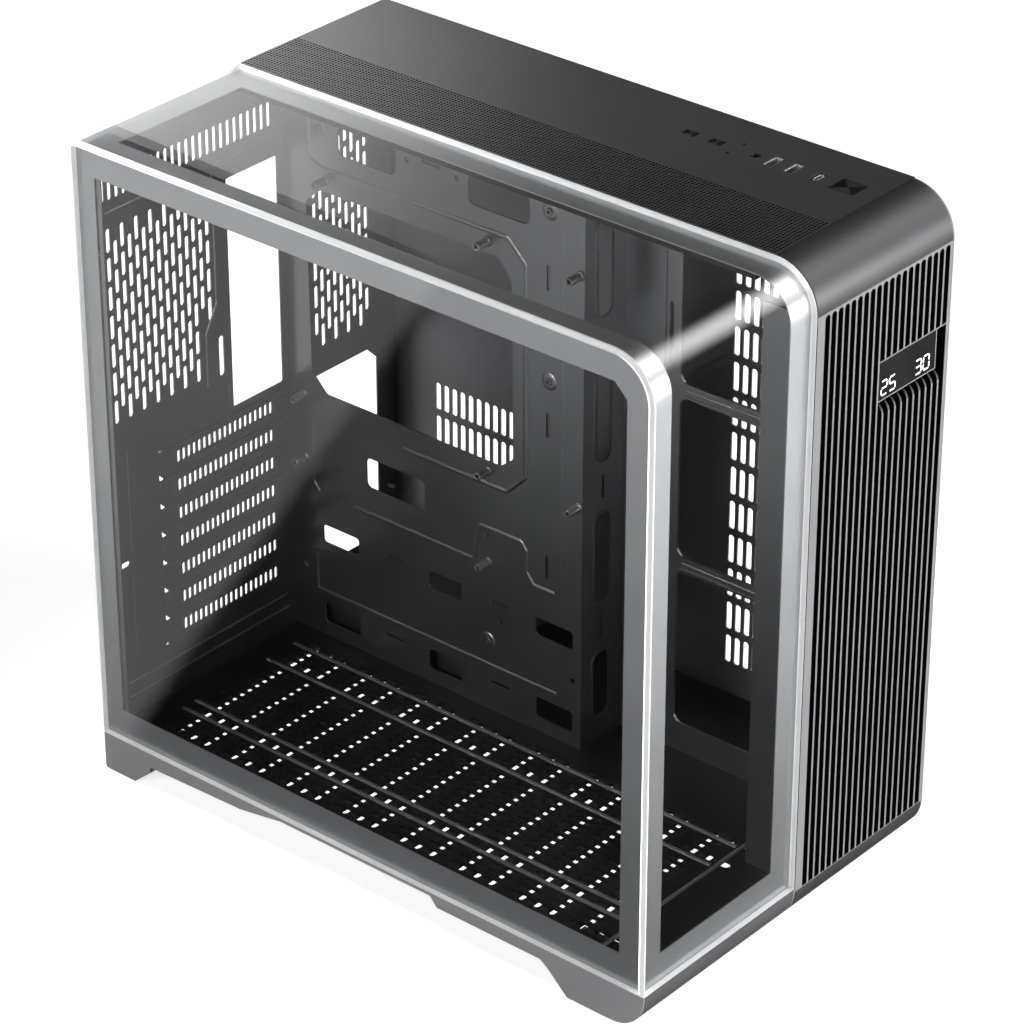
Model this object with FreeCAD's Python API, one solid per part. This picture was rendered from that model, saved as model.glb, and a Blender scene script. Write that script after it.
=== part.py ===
import FreeCAD, Part
import math
import os

Vector = FreeCAD.Vector

# Driving dimensions of the case, in millimetres
case_width = 277.0
case_depth = 440.0
case_height = 441.0
steel = 1.0
panel_gap = 0.3

# Glass
glass_thickness = 4.0
bend_radius = 30.0
border_thickness = 0.8
border_width = 19.5
border_corner = 8.0
glass_bottom = 27.4
stud_radius = 2.2
stud_length = 5.5
stud_sides = 12
stud_clearance = 0.6
stud_above_floor = 6.0
stud_from_end = 64.0

# Steel side of the case
steel_strip = 132.5
seam_gap = 0.5
chamber_depth = 103.0
floor_level = 32.0
flange = 12.0
roof_drop = 9.0
rear_inset = 5.0
front_wall_inset = 14.0
frame_ledge = 18.0
front_web = 36.0

# Base
rail_bottom = 0.8
rail_skin = 4.0
rail_ledge = 8.0
rail_step = 18.8
rail_middle = 25.0
foot_width = 34.0
rear_foot_length = 25.0
front_foot_length = 28.0
foot_slope = 14.0
rear_skirt = 152.0
front_skirt = 134.0
lip_length = 30.0
lip_wall = 3.0
pad_radius = 8.0
pad_sides = 20
pad_height = 2.8
pad_clearance = 0.3

# Front panel
slat_pitch = 6.1
slat_gap = 3.9
slat_count = 20
slat_depth = 8.0
slat_bottom = 25.5
slat_rail = 5.1
slat_top_gap = 1.5
panel_wall = 2.5
panel_corner = 2.0
display_width = 56.6
display_height = 36.0
display_pocket = 8.3
display_drop = 83.0
screen_thickness = 2.0
screen_set_back = 0.3
screen_rise = 10.3

# Top panel and controls
mesh_strip = 51.5
mesh_margin = 3.0
mesh_rows = 2
mesh_columns = 12
mesh_bar = 2.4
control_inset = 35.8
control_clearance = 0.3
power_from_front = 51.8
power_length = 17.0
power_width = 15.4
small_button_length = 9.2
small_button_width = 6.6
reset_from_front = 147.3
light_from_front = 166.8
button_skirt = 1.5
button_travel = 1.2
oval_port_from_front = 72.8
wide_port_from_front = (90.7, 105.3)
wide_port_size = (13.2, 5.8)
oval_port_size = (12.0, 5.2)
port_wall = 0.4
jack_from_front = 118.4
jack_radius = 3.0
jack_bore = 1.75
pipe_from_front = 133.0
pipe_offset = 8.0
pipe_radius = 0.9
pipe_sides = 8
jack_sides = 16
port_length = 15.3
board_thickness = 1.6
carrier_margin = 12.0
carrier_plate = 3.0
switch_size = 5.0
switch_height = 3.4

# Board tray
tray_margin = 3.41
step_depth = 38.5
step_flange = 31.0
step_fold = 4.5
step_slot_inset = 9.5
step_slot_width = 18.0
step_slot_height = 67.0
step_slot_pitch = 99.5
step_slot_count = 3
step_slot_below_roof = 35.0
step_slot_above_floor = 16.0
board_drop = 77.4
board_rear_gap = 2.1
standoff_length = 11.0
standoff_radius = 2.9
standoff_bore = 1.5
board_columns = (33.02, 165.1, 237.49)
board_middle_column = 10.16
board_row = 157.48
compact_row = 203.2
spare_row = 222.9
rib_width = 3.4
rib_height = 0.7
boss_radius = 5.6
boss_sides = 16
boss_height = 0.8

# Rear wall
chamber_pitch = 6.0
vent_width = 3.5
vent_length = 35.4
vent_step = 38.8
fan_columns = 15
fan_rows = 3
fan_top_drop = 65.0
fan_from_tray = 69.5
fan_from_side = 15.4
fan_hole_spacing = 105.0
fan_centre_drop = 134.5
fan_slot_from_tray = 61.0
fan_slot_from_side = 6.9
fan_slot = (4.4, 28.0)
top_vent_count = 25
top_vent_length = 17.0
top_vent_drop = 30.0
top_vent_from_tray = 12.5
top_vent_from_side = 12.4
connector_opening = (45.5, 158.6)
connector_from_tray = 6.5
connector_rise = 9.0
slot_count = 7
slot_pitch = 20.32
slot_below_board = 163.2
cover_height = 18.4
cover_from_tray = 7.5
cover_length = 112.0
cover_lug = 3.0
slit_count = 4
slit_pitch = 23.2
slit_width = 18.6
slit_height = 8.5
slit_from_tray = 16.5
tab_reach = 5.5
tab_slot = 4.5
screw_radius = 1.5
shank_sides = 8
screw_head = 2.0
screw_head_height = 2.4
clamp_width = 8.0
chamber_columns = 9
chamber_rows = 2
chamber_from_right = 25.0
chamber_above_supply = 19.0
supply_opening = (66.0, 143.0)
supply_from_right = 16.0
supply_above_floor = 30.0
supply_chamfer = 9.0
supply_hole = 2.0
supply_hole_margin = 5.0

# Side fan bracket and right panel
fan_window_count = 3
fan_window_bar = 10.0
fan_window_above_floor = 21.0
fan_window_below_roof = 29.0
fan_window_from_front = 23.0
window_corner = 6.0
bracket_post = 12.0
post_slot = (3.0, 44.0)
post_slot_rise = 7.0
bracket_lap = 10.0
side_vent_columns = 9
side_vent_rows = 3
side_vent_pitch = 14.0
side_vent_width = 6.0
side_vent_bar = 7.0
side_vent_below_roof = 39.0
side_vent_from_front = 35.0
side_vent_above_floor = 32.0
side_panel_depth = 4.0
rear_vent_pitch = 7.0
rear_vent_width = 4.5
rear_vent_count = 10
rear_vent_length = 20.0
rear_vent_step = 24.4
rear_vent_from_back = 42.5
rear_vent_above_floor = 105.0
thumb_radius = 4.5
thumb_height = 3.6
thumb_sides = 16
thumb_shank = 8.0
thumb_tab = 13.0

# Floor slots
lane_count = 17
wide_lane_numbers = (0, 3, 13, 16)
lane_from_tray = 17.5
lane_from_side = 22.4
lane_slot = 3.6
wide_slot = 5.6
floor_slot_bridge = 5.0
floor_slot_rows = 2
floor_field_front = 54.0
floor_field_back = 29.0
grille_thickness = 2.5
grille_bar = 16.0
grille_count = 13
grille_margin = 6.0

# Power supply shelf and drive bracket
shelf_height = 25.0
shelf_length = 152.0
shelf_from_tray = 8.0
shelf_from_right = 6.0
shelf_pad = 12.0
drive_from_step = 8.0
drive_depth = 22.0
drive_width = 48.0
drive_height = 150.0
drive_below_top = 62.0
drive_slot = (18.0, 4.0)

# Planes that the pieces share
left = -case_width / 2
right = case_width / 2
front = -case_depth / 2
back = case_depth / 2
split = right - steel_strip
tray_face = right - chamber_depth
wall_outer = back - rear_inset
wall_inner = wall_outer - steel
floor_low = floor_level - steel
roof_low = case_height - roof_drop
roof_high = roof_low + steel
glass_inner = glass_thickness + border_thickness + panel_gap
chassis_left = left + glass_inner
chassis_right = right - side_panel_depth - panel_gap
chassis_front = front + glass_inner
chassis_top = case_height - glass_inner
front_wall_face = front + front_wall_inset
lip_back = front + lip_length
rail_top = glass_bottom - panel_gap
panel_left = split + seam_gap
top_skin = case_height - 1.2 * steel
control_line = right - control_inset
board_edge = wall_inner - board_rear_gap
board_top_row = case_height - board_drop
tray_front = board_edge - board_columns[-1] - tray_margin
step_face = tray_face + step_depth


def box(x0, x1, y0, y1, z0, z1):
    """Block between two corners."""
    return Part.makeBox(x1 - x0, y1 - y0, z1 - z0, Vector(x0, y0, z0))


def rod(axis, centre, low, high, radius):
    """Round bar along an axis, between two levels of that axis, with its centre in the other two."""
    i = "xyz".index(axis)
    start = list(centre)
    start.insert(i, low)
    direction = [0, 0, 0]
    direction[i] = 1
    return Part.makeCylinder(radius, high - low, Vector(*start), Vector(*direction))


def point(axis, level, a, b):
    """Point of a plane square to an axis, from its two coordinates in that plane."""
    place = [a, b]
    place.insert("xyz".index(axis), level)
    return Vector(*place)


def polygon(corners):
    """Outline through a list of corners, as a function that lays it on a plane."""
    def lay(axis, level):
        points = [point(axis, level, a, b) for a, b in corners]
        return Part.makePolygon(points + points[:1])
    return lay


def rectangle(a0, a1, b0, b1, radius=0.0):
    """Upright rectangle, with round corners where a radius is given."""
    if radius <= 0.0:
        return polygon([(a0, b0), (a1, b0), (a1, b1), (a0, b1)])

    def lay(axis, level):
        edges = []
        diagonal = radius * (1 - math.sqrt(0.5))
        corners = [(a0, b0, 1, 1), (a1, b0, -1, 1), (a1, b1, -1, -1), (a0, b1, 1, -1)]
        arcs = []
        for index, (a, b, sa, sb) in enumerate(corners):
            along_a = (a + sa * radius, b)
            along_b = (a, b + sb * radius)
            middle = (a + sa * diagonal, b + sb * diagonal)
            ends = (along_b, along_a) if index % 2 == 0 else (along_a, along_b)
            arcs.append((ends[0], middle, ends[1]))
        for index, (start, middle, end) in enumerate(arcs):
            edges.append(Part.Arc(*[point(axis, level, *p) for p in (start, middle, end)]).toShape())
            following = arcs[(index + 1) % 4][0]
            edges.append(Part.makeLine(point(axis, level, *end), point(axis, level, *following)))
        return Part.Wire(edges)
    return lay


def clipped(a0, a1, b0, b1, corner):
    """Upright rectangle with its four corners cut off."""
    c = corner
    return polygon([(a0 + c, b0), (a1 - c, b0), (a1, b0 + c), (a1, b1 - c), (a1 - c, b1), (a0 + c, b1),
                    (a0, b1 - c), (a0, b0 + c)])


def even_sided(a, b, radius, sides):
    """Regular polygon about a centre."""
    turns = [2 * math.pi * k / sides for k in range(sides)]
    return polygon([(a + radius * math.cos(t), b + radius * math.sin(t)) for t in turns])


def screw_hole(a, b, radius):
    """Pierced clearance hole with eight sides that stay outside a radius."""
    return even_sided(a, b, radius / math.cos(math.pi / 8), 8)


def circle(a, b, radius):
    """Round outline about a centre."""
    def lay(axis, level):
        direction = Vector(*[1 if axis == name else 0 for name in "xyz"])
        return Part.Wire([Part.makeCircle(radius, point(axis, level, a, b), direction)])
    return lay


def plate(axis, level, thickness, outline, holes=()):
    """Sheet square to an axis, with its holes left open in the face before it gets its thickness."""
    wires = [lay(axis, level) for lay in [outline] + list(holes)]
    face = Part.makeFace(wires, "Part::FaceMakerBullseye")
    direction = Vector(*[thickness if axis == name else 0 for name in "xyz"])
    return face.extrude(direction)


def profile(section, x0, x1):
    """Bar along X whose section in Y and Z is a chain of points; a triple of points is an arc."""
    runs = [item if isinstance(item[0], tuple) else (item,) for item in section]
    edges = []
    last = runs[-1][-1]
    for run in runs:
        points = [Vector(x0, *p) for p in run]
        if math.dist(last, run[0]) > 1e-6:
            edges.append(Part.makeLine(Vector(x0, *last), points[0]))
        if len(points) == 3:
            edges.append(Part.Arc(*points).toShape())
        last = run[-1]
    return Part.Face(Part.Wire(edges)).extrude(Vector(x1 - x0, 0, 0))


def quarter(centre, radius, from_angle, to_angle):
    """Arc of a circle in Y and Z between two angles in degrees, as start, middle and end points."""
    middle_angle = (from_angle + to_angle) / 2
    angles = [math.radians(a) for a in (from_angle, middle_angle, to_angle)]
    return tuple((centre[0] + radius * math.cos(a), centre[1] + radius * math.sin(a)) for a in angles)


def fused(solids):
    """One solid from pieces that share faces, without the seams between them."""
    first = solids[0]
    joined = first.fuse(solids[1:]) if len(solids) > 1 else first
    return joined.removeSplitter()


def mirrored(shape):
    """The same piece on the other side of the case."""
    return shape.mirror(Vector(0, 0, 0), Vector(1, 0, 0))


def strip(points, width):
    """Outline of a band of even width along a chain of points, with mitred corners."""
    sides = ([], [])
    for index, (a, b) in enumerate(points):
        before = points[max(index - 1, 0)]
        after = points[min(index + 1, len(points) - 1)]
        turns = []
        for (a0, b0), (a1, b1) in ((before, (a, b)), ((a, b), after)):
            length = math.hypot(a1 - a0, b1 - b0)
            if length > 0:
                turns.append((-(b1 - b0) / length, (a1 - a0) / length))
        normal = [sum(t[k] for t in turns) / len(turns) for k in (0, 1)]
        reach = width / 2 / (normal[0] ** 2 + normal[1] ** 2)
        sides[0].append((a + normal[0] * reach, b + normal[1] * reach))
        sides[1].append((a - normal[0] * reach, b - normal[1] * reach))
    return polygon(sides[0] + sides[1][::-1])


def save(name, shape):
    shape.exportStep("parts/" + name + ".step")


def bent_section(offset, thickness, back_end, bottom_end):
    """Section of a sheet that runs forward along the top, round the bend and down the front."""
    centre = (front + bend_radius, case_height - bend_radius)
    outer = bend_radius - offset
    inner = outer - thickness
    high = case_height - offset
    face = front + offset
    return [(back_end, high), quarter(centre, outer, 90, 180), (face, bottom_end),
            (face + thickness, bottom_end), quarter(centre, inner, 180, 90), (back_end, high - thickness)]


def front_glass():
    return profile(bent_section(0, glass_thickness, back, glass_bottom), left, split)


def front_glass_frame():
    """Thin frame bonded behind the bent glass, open in the middle all the way round the bend."""
    inset = panel_gap
    sheet = profile(bent_section(glass_thickness, border_thickness, back - inset, glass_bottom + inset),
                    left + glass_inner, split - inset)
    window = profile(bent_section(glass_thickness - 1, border_thickness + 2, back - border_width,
                                  glass_bottom + border_width), left + border_width, split - border_width)
    return sheet.cut(window)


def side_outline(inset, corner):
    """Outline of the side glass: square at the back, rounded where it meets the bend."""
    y0 = front + inset
    z1 = case_height - inset
    arc = [(y0 + corner * (1 - math.cos(a)), z1 - corner * (1 - math.sin(a)))
           for a in (0, math.pi / 4, math.pi / 2)]

    def lay(axis, level):
        p = [point(axis, level, *c) for c in arc]
        ends = [point(axis, level, *c) for c in ((back, z1), (back, glass_bottom), (y0, glass_bottom))]
        chain = [p[2]] + ends + [p[0]]
        lines = [Part.makeLine(a, b) for a, b in zip(chain, chain[1:])]
        return Part.Wire([Part.Arc(*p).toShape()] + lines)
    return lay


side_inset = glass_thickness + panel_gap


def side_glass():
    return plate("x", left, glass_thickness, side_outline(side_inset, bend_radius - side_inset))


def side_glass_frame():
    """Thin frame bonded behind the side glass."""
    frame_inset = glass_inner + panel_gap
    window = rectangle(front + border_width + side_inset, back - border_width + side_inset,
                       glass_bottom + border_width, case_height - border_width - side_inset, border_corner)
    outline = side_outline(frame_inset, bend_radius - frame_inset)
    return plate("x", left + glass_thickness, border_thickness, outline, [window])


stud_low = floor_level + stud_above_floor
rear_stud_y = wall_inner - flange / 2
stud_places = [(front + stud_from_end, stud_low), (back - stud_from_end, stud_low),
               (rear_stud_y, floor_level + stud_from_end), (rear_stud_y, roof_low - stud_from_end)]


def side_glass_studs():
    start = left + glass_thickness + border_thickness
    return Part.makeCompound([plate("x", start, stud_length, even_sided(*place, stud_radius, stud_sides))
                              for place in stud_places])


def stud_holes(places):
    return [screw_hole(a, b, stud_radius + stud_clearance) for a, b in places]


field_right = tray_face - lane_from_tray
field_left = chassis_left + lane_from_side
field_front = front + floor_field_front
field_back = wall_inner - floor_field_back


def even_runs(low, high, count, bar):
    """Start and end of a number of equal openings between two ends, with bars of one width between them."""
    length = (high - low - (count - 1) * bar) / count
    return [(low + i * (length + bar), low + i * (length + bar) + length) for i in range(count)]


def floor_lanes():
    """Centre and width of each slot lane of the floor."""
    pitch = (field_right - field_left) / (lane_count - 1)
    widths = [wide_slot if i in wide_lane_numbers else lane_slot for i in range(lane_count)]
    return [(field_right - i * pitch, width) for i, width in enumerate(widths)]


def floor_pan():
    """Floor with slot lanes along Y, folded up at both sides and along the front glass."""
    notch = split
    outline = polygon([(chassis_left, wall_inner), (chassis_right, wall_inner),
                       (chassis_right, front_wall_face), (notch, front_wall_face),
                       (notch, chassis_front), (chassis_left, chassis_front)])
    holes = []
    for x, width in floor_lanes():
        for y0, y1 in even_runs(field_front, field_back, floor_slot_rows, floor_slot_bridge):
            holes.append(rectangle(x - width / 2, x + width / 2, y0, y1))
    base = plate("z", floor_low, steel, outline, holes)
    edge = floor_level + flange
    left_wall = plate("x", chassis_left, steel, rectangle(chassis_front, wall_inner, floor_level, edge),
                      stud_holes(stud_places[:2]))
    front_lip_wall = box(chassis_left + steel, notch - 3 * steel, chassis_front, chassis_front + steel,
                         floor_level, edge)
    right_wall = box(chassis_right - steel, chassis_right, front_wall_face + steel, wall_inner,
                     floor_level, edge)
    return fused([base, left_wall, front_lip_wall, right_wall])


def base_grille():
    """Plastic grille under the floor slots, with slits across the case."""
    m = grille_margin
    holes = [rectangle(field_left - m / 2, field_right + m / 2, y0, y1)
             for y0, y1 in even_runs(field_front, field_back, grille_count, grille_bar)]
    outline = rectangle(field_left - m, field_right + m, field_front - m, field_back + m)
    return plate("z", floor_low - grille_thickness, grille_thickness, outline, holes)


rail_back = back
rear_foot_end = rail_back - rear_foot_length
front_foot_end = lip_back + front_foot_length


def base_rail():
    """Left base rail: thin outer skin, two feet that slope into it, and a ledge that carries the floor."""
    skin_points = [(rail_back, rail_top), (rail_back, rail_bottom), (rear_foot_end, rail_bottom),
                   (rear_foot_end - foot_slope, rail_step), (back - rear_skirt + 2 * foot_slope, rail_step),
                   (back - rear_skirt, rail_middle), (lip_back + front_skirt, rail_middle),
                   (lip_back + front_skirt - 6, rail_step), (front_foot_end + foot_slope, rail_step),
                   (front_foot_end, rail_bottom), (lip_back, rail_bottom), (lip_back, rail_top)]
    skin = profile(skin_points, left, left + rail_skin)
    inner = left + foot_width
    rear_foot = profile([(rail_back, rail_top), (rail_back, rail_bottom), (rear_foot_end, rail_bottom),
                         (rear_foot_end - foot_slope, rail_step), (rear_foot_end - foot_slope, rail_top)],
                        left + rail_skin, inner)
    front_foot = profile([(lip_back, rail_top), (lip_back, rail_bottom), (front_foot_end, rail_bottom),
                          (front_foot_end + foot_slope, rail_step), (front_foot_end + foot_slope, rail_top)],
                         left + rail_skin, inner)
    ledge_end = left + rail_skin + rail_ledge
    shelf = box(left + rail_skin, ledge_end, lip_back, wall_inner, rail_middle, rail_top)
    ledge = box(chassis_left, ledge_end, lip_back, wall_inner, rail_top, floor_low)
    body = fused([skin, rear_foot, front_foot, shelf, ledge])
    recess = pad_radius + pad_clearance
    for x, y in pad_places():
        body = body.cut(plate("z", 0, pad_height, even_sided(x, y, recess, pad_sides)))
    return body


def pad_places():
    x = left + foot_width / 2
    return [(x, rail_back - rear_foot_length / 2), (x, lip_back + front_foot_length / 2)]


def foot_pads():
    pads = [plate("z", 0, pad_height, even_sided(x, y, pad_radius, pad_sides)) for x, y in pad_places()]
    return Part.makeCompound(pads + [mirrored(p) for p in pads])


def lip_section(offset):
    """Quarter-round section of the lip, from its front face down to its flat bottom."""
    radius = rail_middle - rail_bottom
    centre = (front + radius, rail_middle)
    return quarter(centre, radius - offset, 180, 270)


def front_lip():
    """Rounded lip under the front glass, hollow towards the back."""
    outer = profile([(front, rail_top), lip_section(0), (lip_back, rail_bottom), (lip_back, rail_top)],
                    left, split)
    hollow = profile([lip_section(lip_wall), (lip_back + 1, rail_bottom + lip_wall),
                      (lip_back + 1, rail_middle)], left + lip_wall, split - lip_wall)
    return outer.cut(hollow)


display_right = right - slat_rail
display_left = display_right - display_width - display_pocket
display_top = case_height - display_drop
display_bottom = display_top - display_height
slat_inner = front + slat_depth


def slot_left(index):
    return right - slat_rail - slat_gap - (slat_count - 1 - index) * slat_pitch


def front_panel():
    """Moulded cover: rolled top, wall of upright slats with a window in it, rolled bottom lip."""
    centre = (front + bend_radius, case_height - bend_radius)
    bend_inner = bend_radius - panel_wall
    outer = profile([(front + bend_radius, case_height), quarter(centre, bend_radius, 90, 180),
                     lip_section(0), (lip_back, rail_bottom)], panel_left, right)
    middle = Part.Vertex(Vector(right, front, case_height / 2))
    outer = outer.makeChamfer(panel_corner, [e for e in outer.Edges if e.distToShape(middle)[0] < 0.01])
    hollow = profile([(front + bend_radius + 1, case_height - panel_wall),
                      quarter(centre, bend_inner, 90, 180),
                      (slat_inner, centre[1] - panel_wall), (slat_inner, rail_middle),
                      (lip_back, rail_bottom + slat_depth), (lip_back + 1, rail_bottom + slat_depth)],
                     panel_left + panel_wall, right - panel_wall)
    shell = outer.cut(hollow)
    behind = box(panel_left - 1, chassis_right + panel_gap, front_wall_face - panel_gap, back,
                 rail_top, roof_high + panel_gap)
    slots = []
    for index in range(slat_count):
        x0 = slot_left(index)
        slots.append(box(x0, x0 + slat_gap, front - 1, slat_inner + 1, slat_bottom, centre[1] - slat_top_gap))
    window = profile([(front - 1, display_bottom), quarter((slat_inner, display_bottom), slat_depth, 180, 90),
                      (slat_inner + 1, display_bottom + slat_depth), (slat_inner + 1, display_top),
                      (front - 1, display_top)], display_left, display_right)
    return shell.cut([behind, window] + slots)


screen_back = front + screen_set_back + screen_thickness


def screen_block(y0, y1):
    """Upright block as wide and as high as the screen."""
    return box(display_left + panel_gap, display_right - display_pocket, y0, y1,
               display_bottom + screen_rise, display_top - panel_gap)


def display_housing():
    """Black holder behind the slats, with a block that carries the screen forward."""
    face = slat_inner + panel_gap
    base = box(display_left - slat_gap / 2, display_right, face, front_wall_face,
               display_bottom, display_top + slat_gap / 2)
    return fused([base, screen_block(screen_back, face)])


def display_screen():
    """Flat dark screen, nearly flush with the slats' fronts."""
    return screen_block(screen_back - screen_thickness, screen_back)


buttons = {"power_button": (power_from_front, power_width, power_length),
           "reset_button": (reset_from_front, small_button_width, small_button_length),
           "light_button": (light_from_front, small_button_width, small_button_length)}
ports = [(wide_port_from_front[0], wide_port_size), (wide_port_from_front[1], wide_port_size),
         (oval_port_from_front, oval_port_size)]
carrier_front = front + power_from_front - power_length / 2 - carrier_margin / 2
carrier_back = front + light_from_front + small_button_length / 2 + carrier_margin / 2
carrier_half = power_width / 2 + carrier_margin / 3
carrier_low = top_skin - carrier_plate
board_high = case_height - port_length - panel_gap
board_low = board_high - board_thickness


def control_holes(jack_hole):
    """Openings for every control, the same in the top panel and in the carrier under it."""
    c = control_clearance
    x = control_line
    sizes = [(offset, width, length) for offset, (width, length) in ports] + list(buttons.values())
    holes = [jack_hole]
    for offset, width, length in sizes:
        y = front + offset
        holes.append(rectangle(x - width / 2 - c, x + width / 2 + c, y - length / 2 - c, y + length / 2 + c))
    for side in (-1, 1):
        holes.append(even_sided(x + side * pipe_offset, front + pipe_from_front, pipe_radius + c, pipe_sides))
    return holes


def top_panel():
    """Sheet steel roof: perforated strip beside the glass, plain strip with the controls, folded edges."""
    y0 = lip_back + panel_gap
    holes = control_holes(circle(control_line, front + jack_from_front, jack_radius + control_clearance))
    mesh_left = panel_left + mesh_margin
    cell = (mesh_strip - mesh_margin + mesh_bar) / mesh_rows
    step = (back - y0 - 2 * mesh_margin + mesh_bar) / mesh_columns
    for row in range(mesh_rows):
        for column in range(mesh_columns):
            a = mesh_left + row * cell
            b = y0 + mesh_margin + column * step
            holes.append(rectangle(a, a + cell - mesh_bar, b, b + step - mesh_bar))
    roof = plate("z", top_skin, case_height - top_skin, rectangle(panel_left, right, y0, back), holes)
    side_low = chassis_top + panel_gap + steel
    right_edge = box(right - steel, right, y0, back, side_low, top_skin)
    rear_edge = box(panel_left, chassis_right, back - steel, back, roof_low, top_skin)
    return fused([roof, right_edge, rear_edge])


def button(name):
    """Key with a wider skirt that stops it under the carrier."""
    offset, width, length = buttons[name]
    x = control_line
    y = front + offset
    foot = board_high + switch_height + button_travel + panel_gap
    key = box(x - width / 2, x + width / 2, y - length / 2, y + length / 2, foot, case_height)
    w = width / 2 + button_skirt
    v = length / 2 + button_skirt
    stop = carrier_low - panel_gap
    skirt = box(x - w, x + w, y - v, y + v, stop - button_skirt, stop)
    return fused([key, skirt])


def button_switches():
    half = switch_size / 2
    solids = []
    for offset, width, length in buttons.values():
        y = front + offset
        solids.append(box(control_line - half, control_line + half, y - half, y + half,
                          board_high, board_high + switch_height))
    return Part.makeCompound(solids)


def control_carrier():
    """Plastic plate under the roof with four legs that hold the control board."""
    x0 = control_line - carrier_half
    x1 = control_line + carrier_half
    w = jack_radius + control_clearance
    y = front + jack_from_front
    holes = control_holes(rectangle(control_line - w, control_line + w, y - w, y + w))
    deck = plate("z", carrier_low, carrier_plate, rectangle(x0, x1, carrier_front, carrier_back), holes)
    leg = panel_wall
    legs = [box(a, a + leg, b, b + leg, board_high, carrier_low)
            for a in (x0, x1 - leg) for b in (carrier_front, carrier_back - leg)]
    return fused([deck] + legs)


def control_board():
    return box(control_line - carrier_half, control_line + carrier_half, carrier_front, carrier_back,
               board_low, board_high)


def port_shell(offset, size):
    """Socket sleeve on the control board, with a closed floor and its contact tongue."""
    x = control_line
    y = front + offset
    width, length = size
    high = case_height - panel_gap
    sleeve = box(x - width / 2, x + width / 2, y - length / 2, y + length / 2, board_high, high)
    w = width / 2 - port_wall
    v = length / 2 - port_wall
    sleeve = sleeve.cut(box(x - w, x + w, y - v, y + v, board_high + 4 * port_wall, high + 1))
    tongue = box(x - w, x + w, y - v, y - v + 2 * port_wall, board_high + 4 * port_wall, high - 2 * port_wall)
    return fused([sleeve, tongue])


def oval_port():
    """Small oval socket: round-ended sleeve with a thin tongue in the middle."""
    x = control_line
    y = front + oval_port_from_front
    width, length = oval_port_size
    high = case_height - panel_gap
    outer = plate("z", board_high, high - board_high,
                  rectangle(x - width / 2, x + width / 2, y - length / 2, y + length / 2))
    w = width / 2 - 4 * port_wall
    v = length / 2 - 3 * port_wall
    floor_of_port = board_high + 4 * port_wall
    cavity = plate("z", floor_of_port, high - floor_of_port + 1,
                   rectangle(x - w, x + w, y - v, y + v, v * 0.99))
    tongue = box(x - w + 2 * port_wall, x + w - 2 * port_wall, y - port_wall, y + port_wall,
                 floor_of_port, high - 2 * port_wall)
    return fused([outer.cut(cavity), tongue])


def audio_jack():
    """Socket block on the control board with a many-sided collar and a round bore."""
    x = control_line
    y = front + jack_from_front
    high = case_height - panel_gap
    bore = [circle(x, y, jack_bore)]
    base = plate("z", board_high, jack_radius, even_sided(x, y, jack_radius, jack_sides))
    body = plate("z", board_high + jack_radius, high - board_high - jack_radius,
                 even_sided(x, y, jack_radius, jack_sides), bore)
    return fused([base, body])


def light_pipes():
    places = [(control_line + side * pipe_offset, front + pipe_from_front) for side in (-1, 1)]
    return Part.makeCompound([plate("z", board_high, case_height - board_high,
                                    even_sided(x, y, pipe_radius, pipe_sides)) for x, y in places])


def top_frame():
    """Folded frame under the roof: ledge for the glass, opening under the mesh strip, rim for the roof."""
    x0 = split - frame_ledge
    y0 = front_wall_face + steel
    bar = border_width
    tray_clear = 2 * steel
    mesh_right = panel_left + mesh_strip
    holes = [rectangle(panel_left + mesh_margin + steel, tray_face - tray_clear, y0 + bar, wall_inner - bar),
             rectangle(tray_face + steel + tray_clear, mesh_right, y0 + bar, wall_inner - bar),
             rectangle(control_line - carrier_half - steel, control_line + carrier_half + steel,
                       carrier_front - steel, carrier_back + steel)]
    rim_front = lip_back + panel_gap
    outline = polygon([(x0, rim_front), (panel_left, rim_front), (panel_left, y0), (chassis_right, y0),
                       (chassis_right, wall_inner), (x0, wall_inner)])
    deck = plate("z", roof_low, steel, outline, holes)
    ledge = box(x0, x0 + steel, rim_front, wall_inner, roof_high, chassis_top)
    middle_rim = box(panel_left + steel, panel_left + 2 * steel, rim_front, wall_inner, roof_high, top_skin)
    right_rim = box(chassis_right - steel, chassis_right, rim_front, wall_inner, roof_high, top_skin)
    return fused([deck, ledge, middle_rim, right_rim])


front_slot = (40.0, 9.0)
front_slot_rows = 4


def front_wall():
    """Chassis wall behind the slats, with a deep web beside it and a strip that the bent glass rests on."""
    x0 = split - 2 * steel
    middle = (split + chassis_right) / 2
    gap = front_slot[0] / 8
    step = (roof_low - floor_level) / front_slot_rows
    holes = []
    for row in range(front_slot_rows):
        z = floor_level + (row + 0.5) * step
        for a0 in (middle - gap - front_slot[0], middle + gap):
            holes.append(rectangle(a0, a0 + front_slot[0], z - front_slot[1] / 2, z + front_slot[1] / 2))
    strip_top = case_height - bend_radius
    outline = polygon([(x0, floor_level), (chassis_right, floor_level), (chassis_right, roof_low),
                       (panel_left, roof_low), (panel_left, strip_top), (x0, strip_top)])
    wall = plate("y", front_wall_face, steel, outline, holes)
    web = box(x0, x0 + steel, chassis_front, front + front_web, floor_level, strip_top)
    rest = box(split - frame_ledge, x0, chassis_front, chassis_front + steel,
               floor_level + flange + panel_gap, strip_top)
    return fused([wall, web, rest])


def tray_y(distance):
    """Place along the tray, measured forward from the rear wall."""
    return wall_inner - distance


def board_places():
    """Board fixings as (y, z), from the board's own hole grid."""
    upper = [(board_edge - c, board_top_row) for c in board_columns]
    middle_columns = (board_middle_column,) + board_columns[1:]
    middle = [(board_edge - c, board_top_row - board_row) for c in middle_columns]
    lower = [(board_edge - board_middle_column, board_top_row - compact_row),
             (board_edge - board_columns[1], board_top_row - spare_row)]
    return upper + middle + lower


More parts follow.
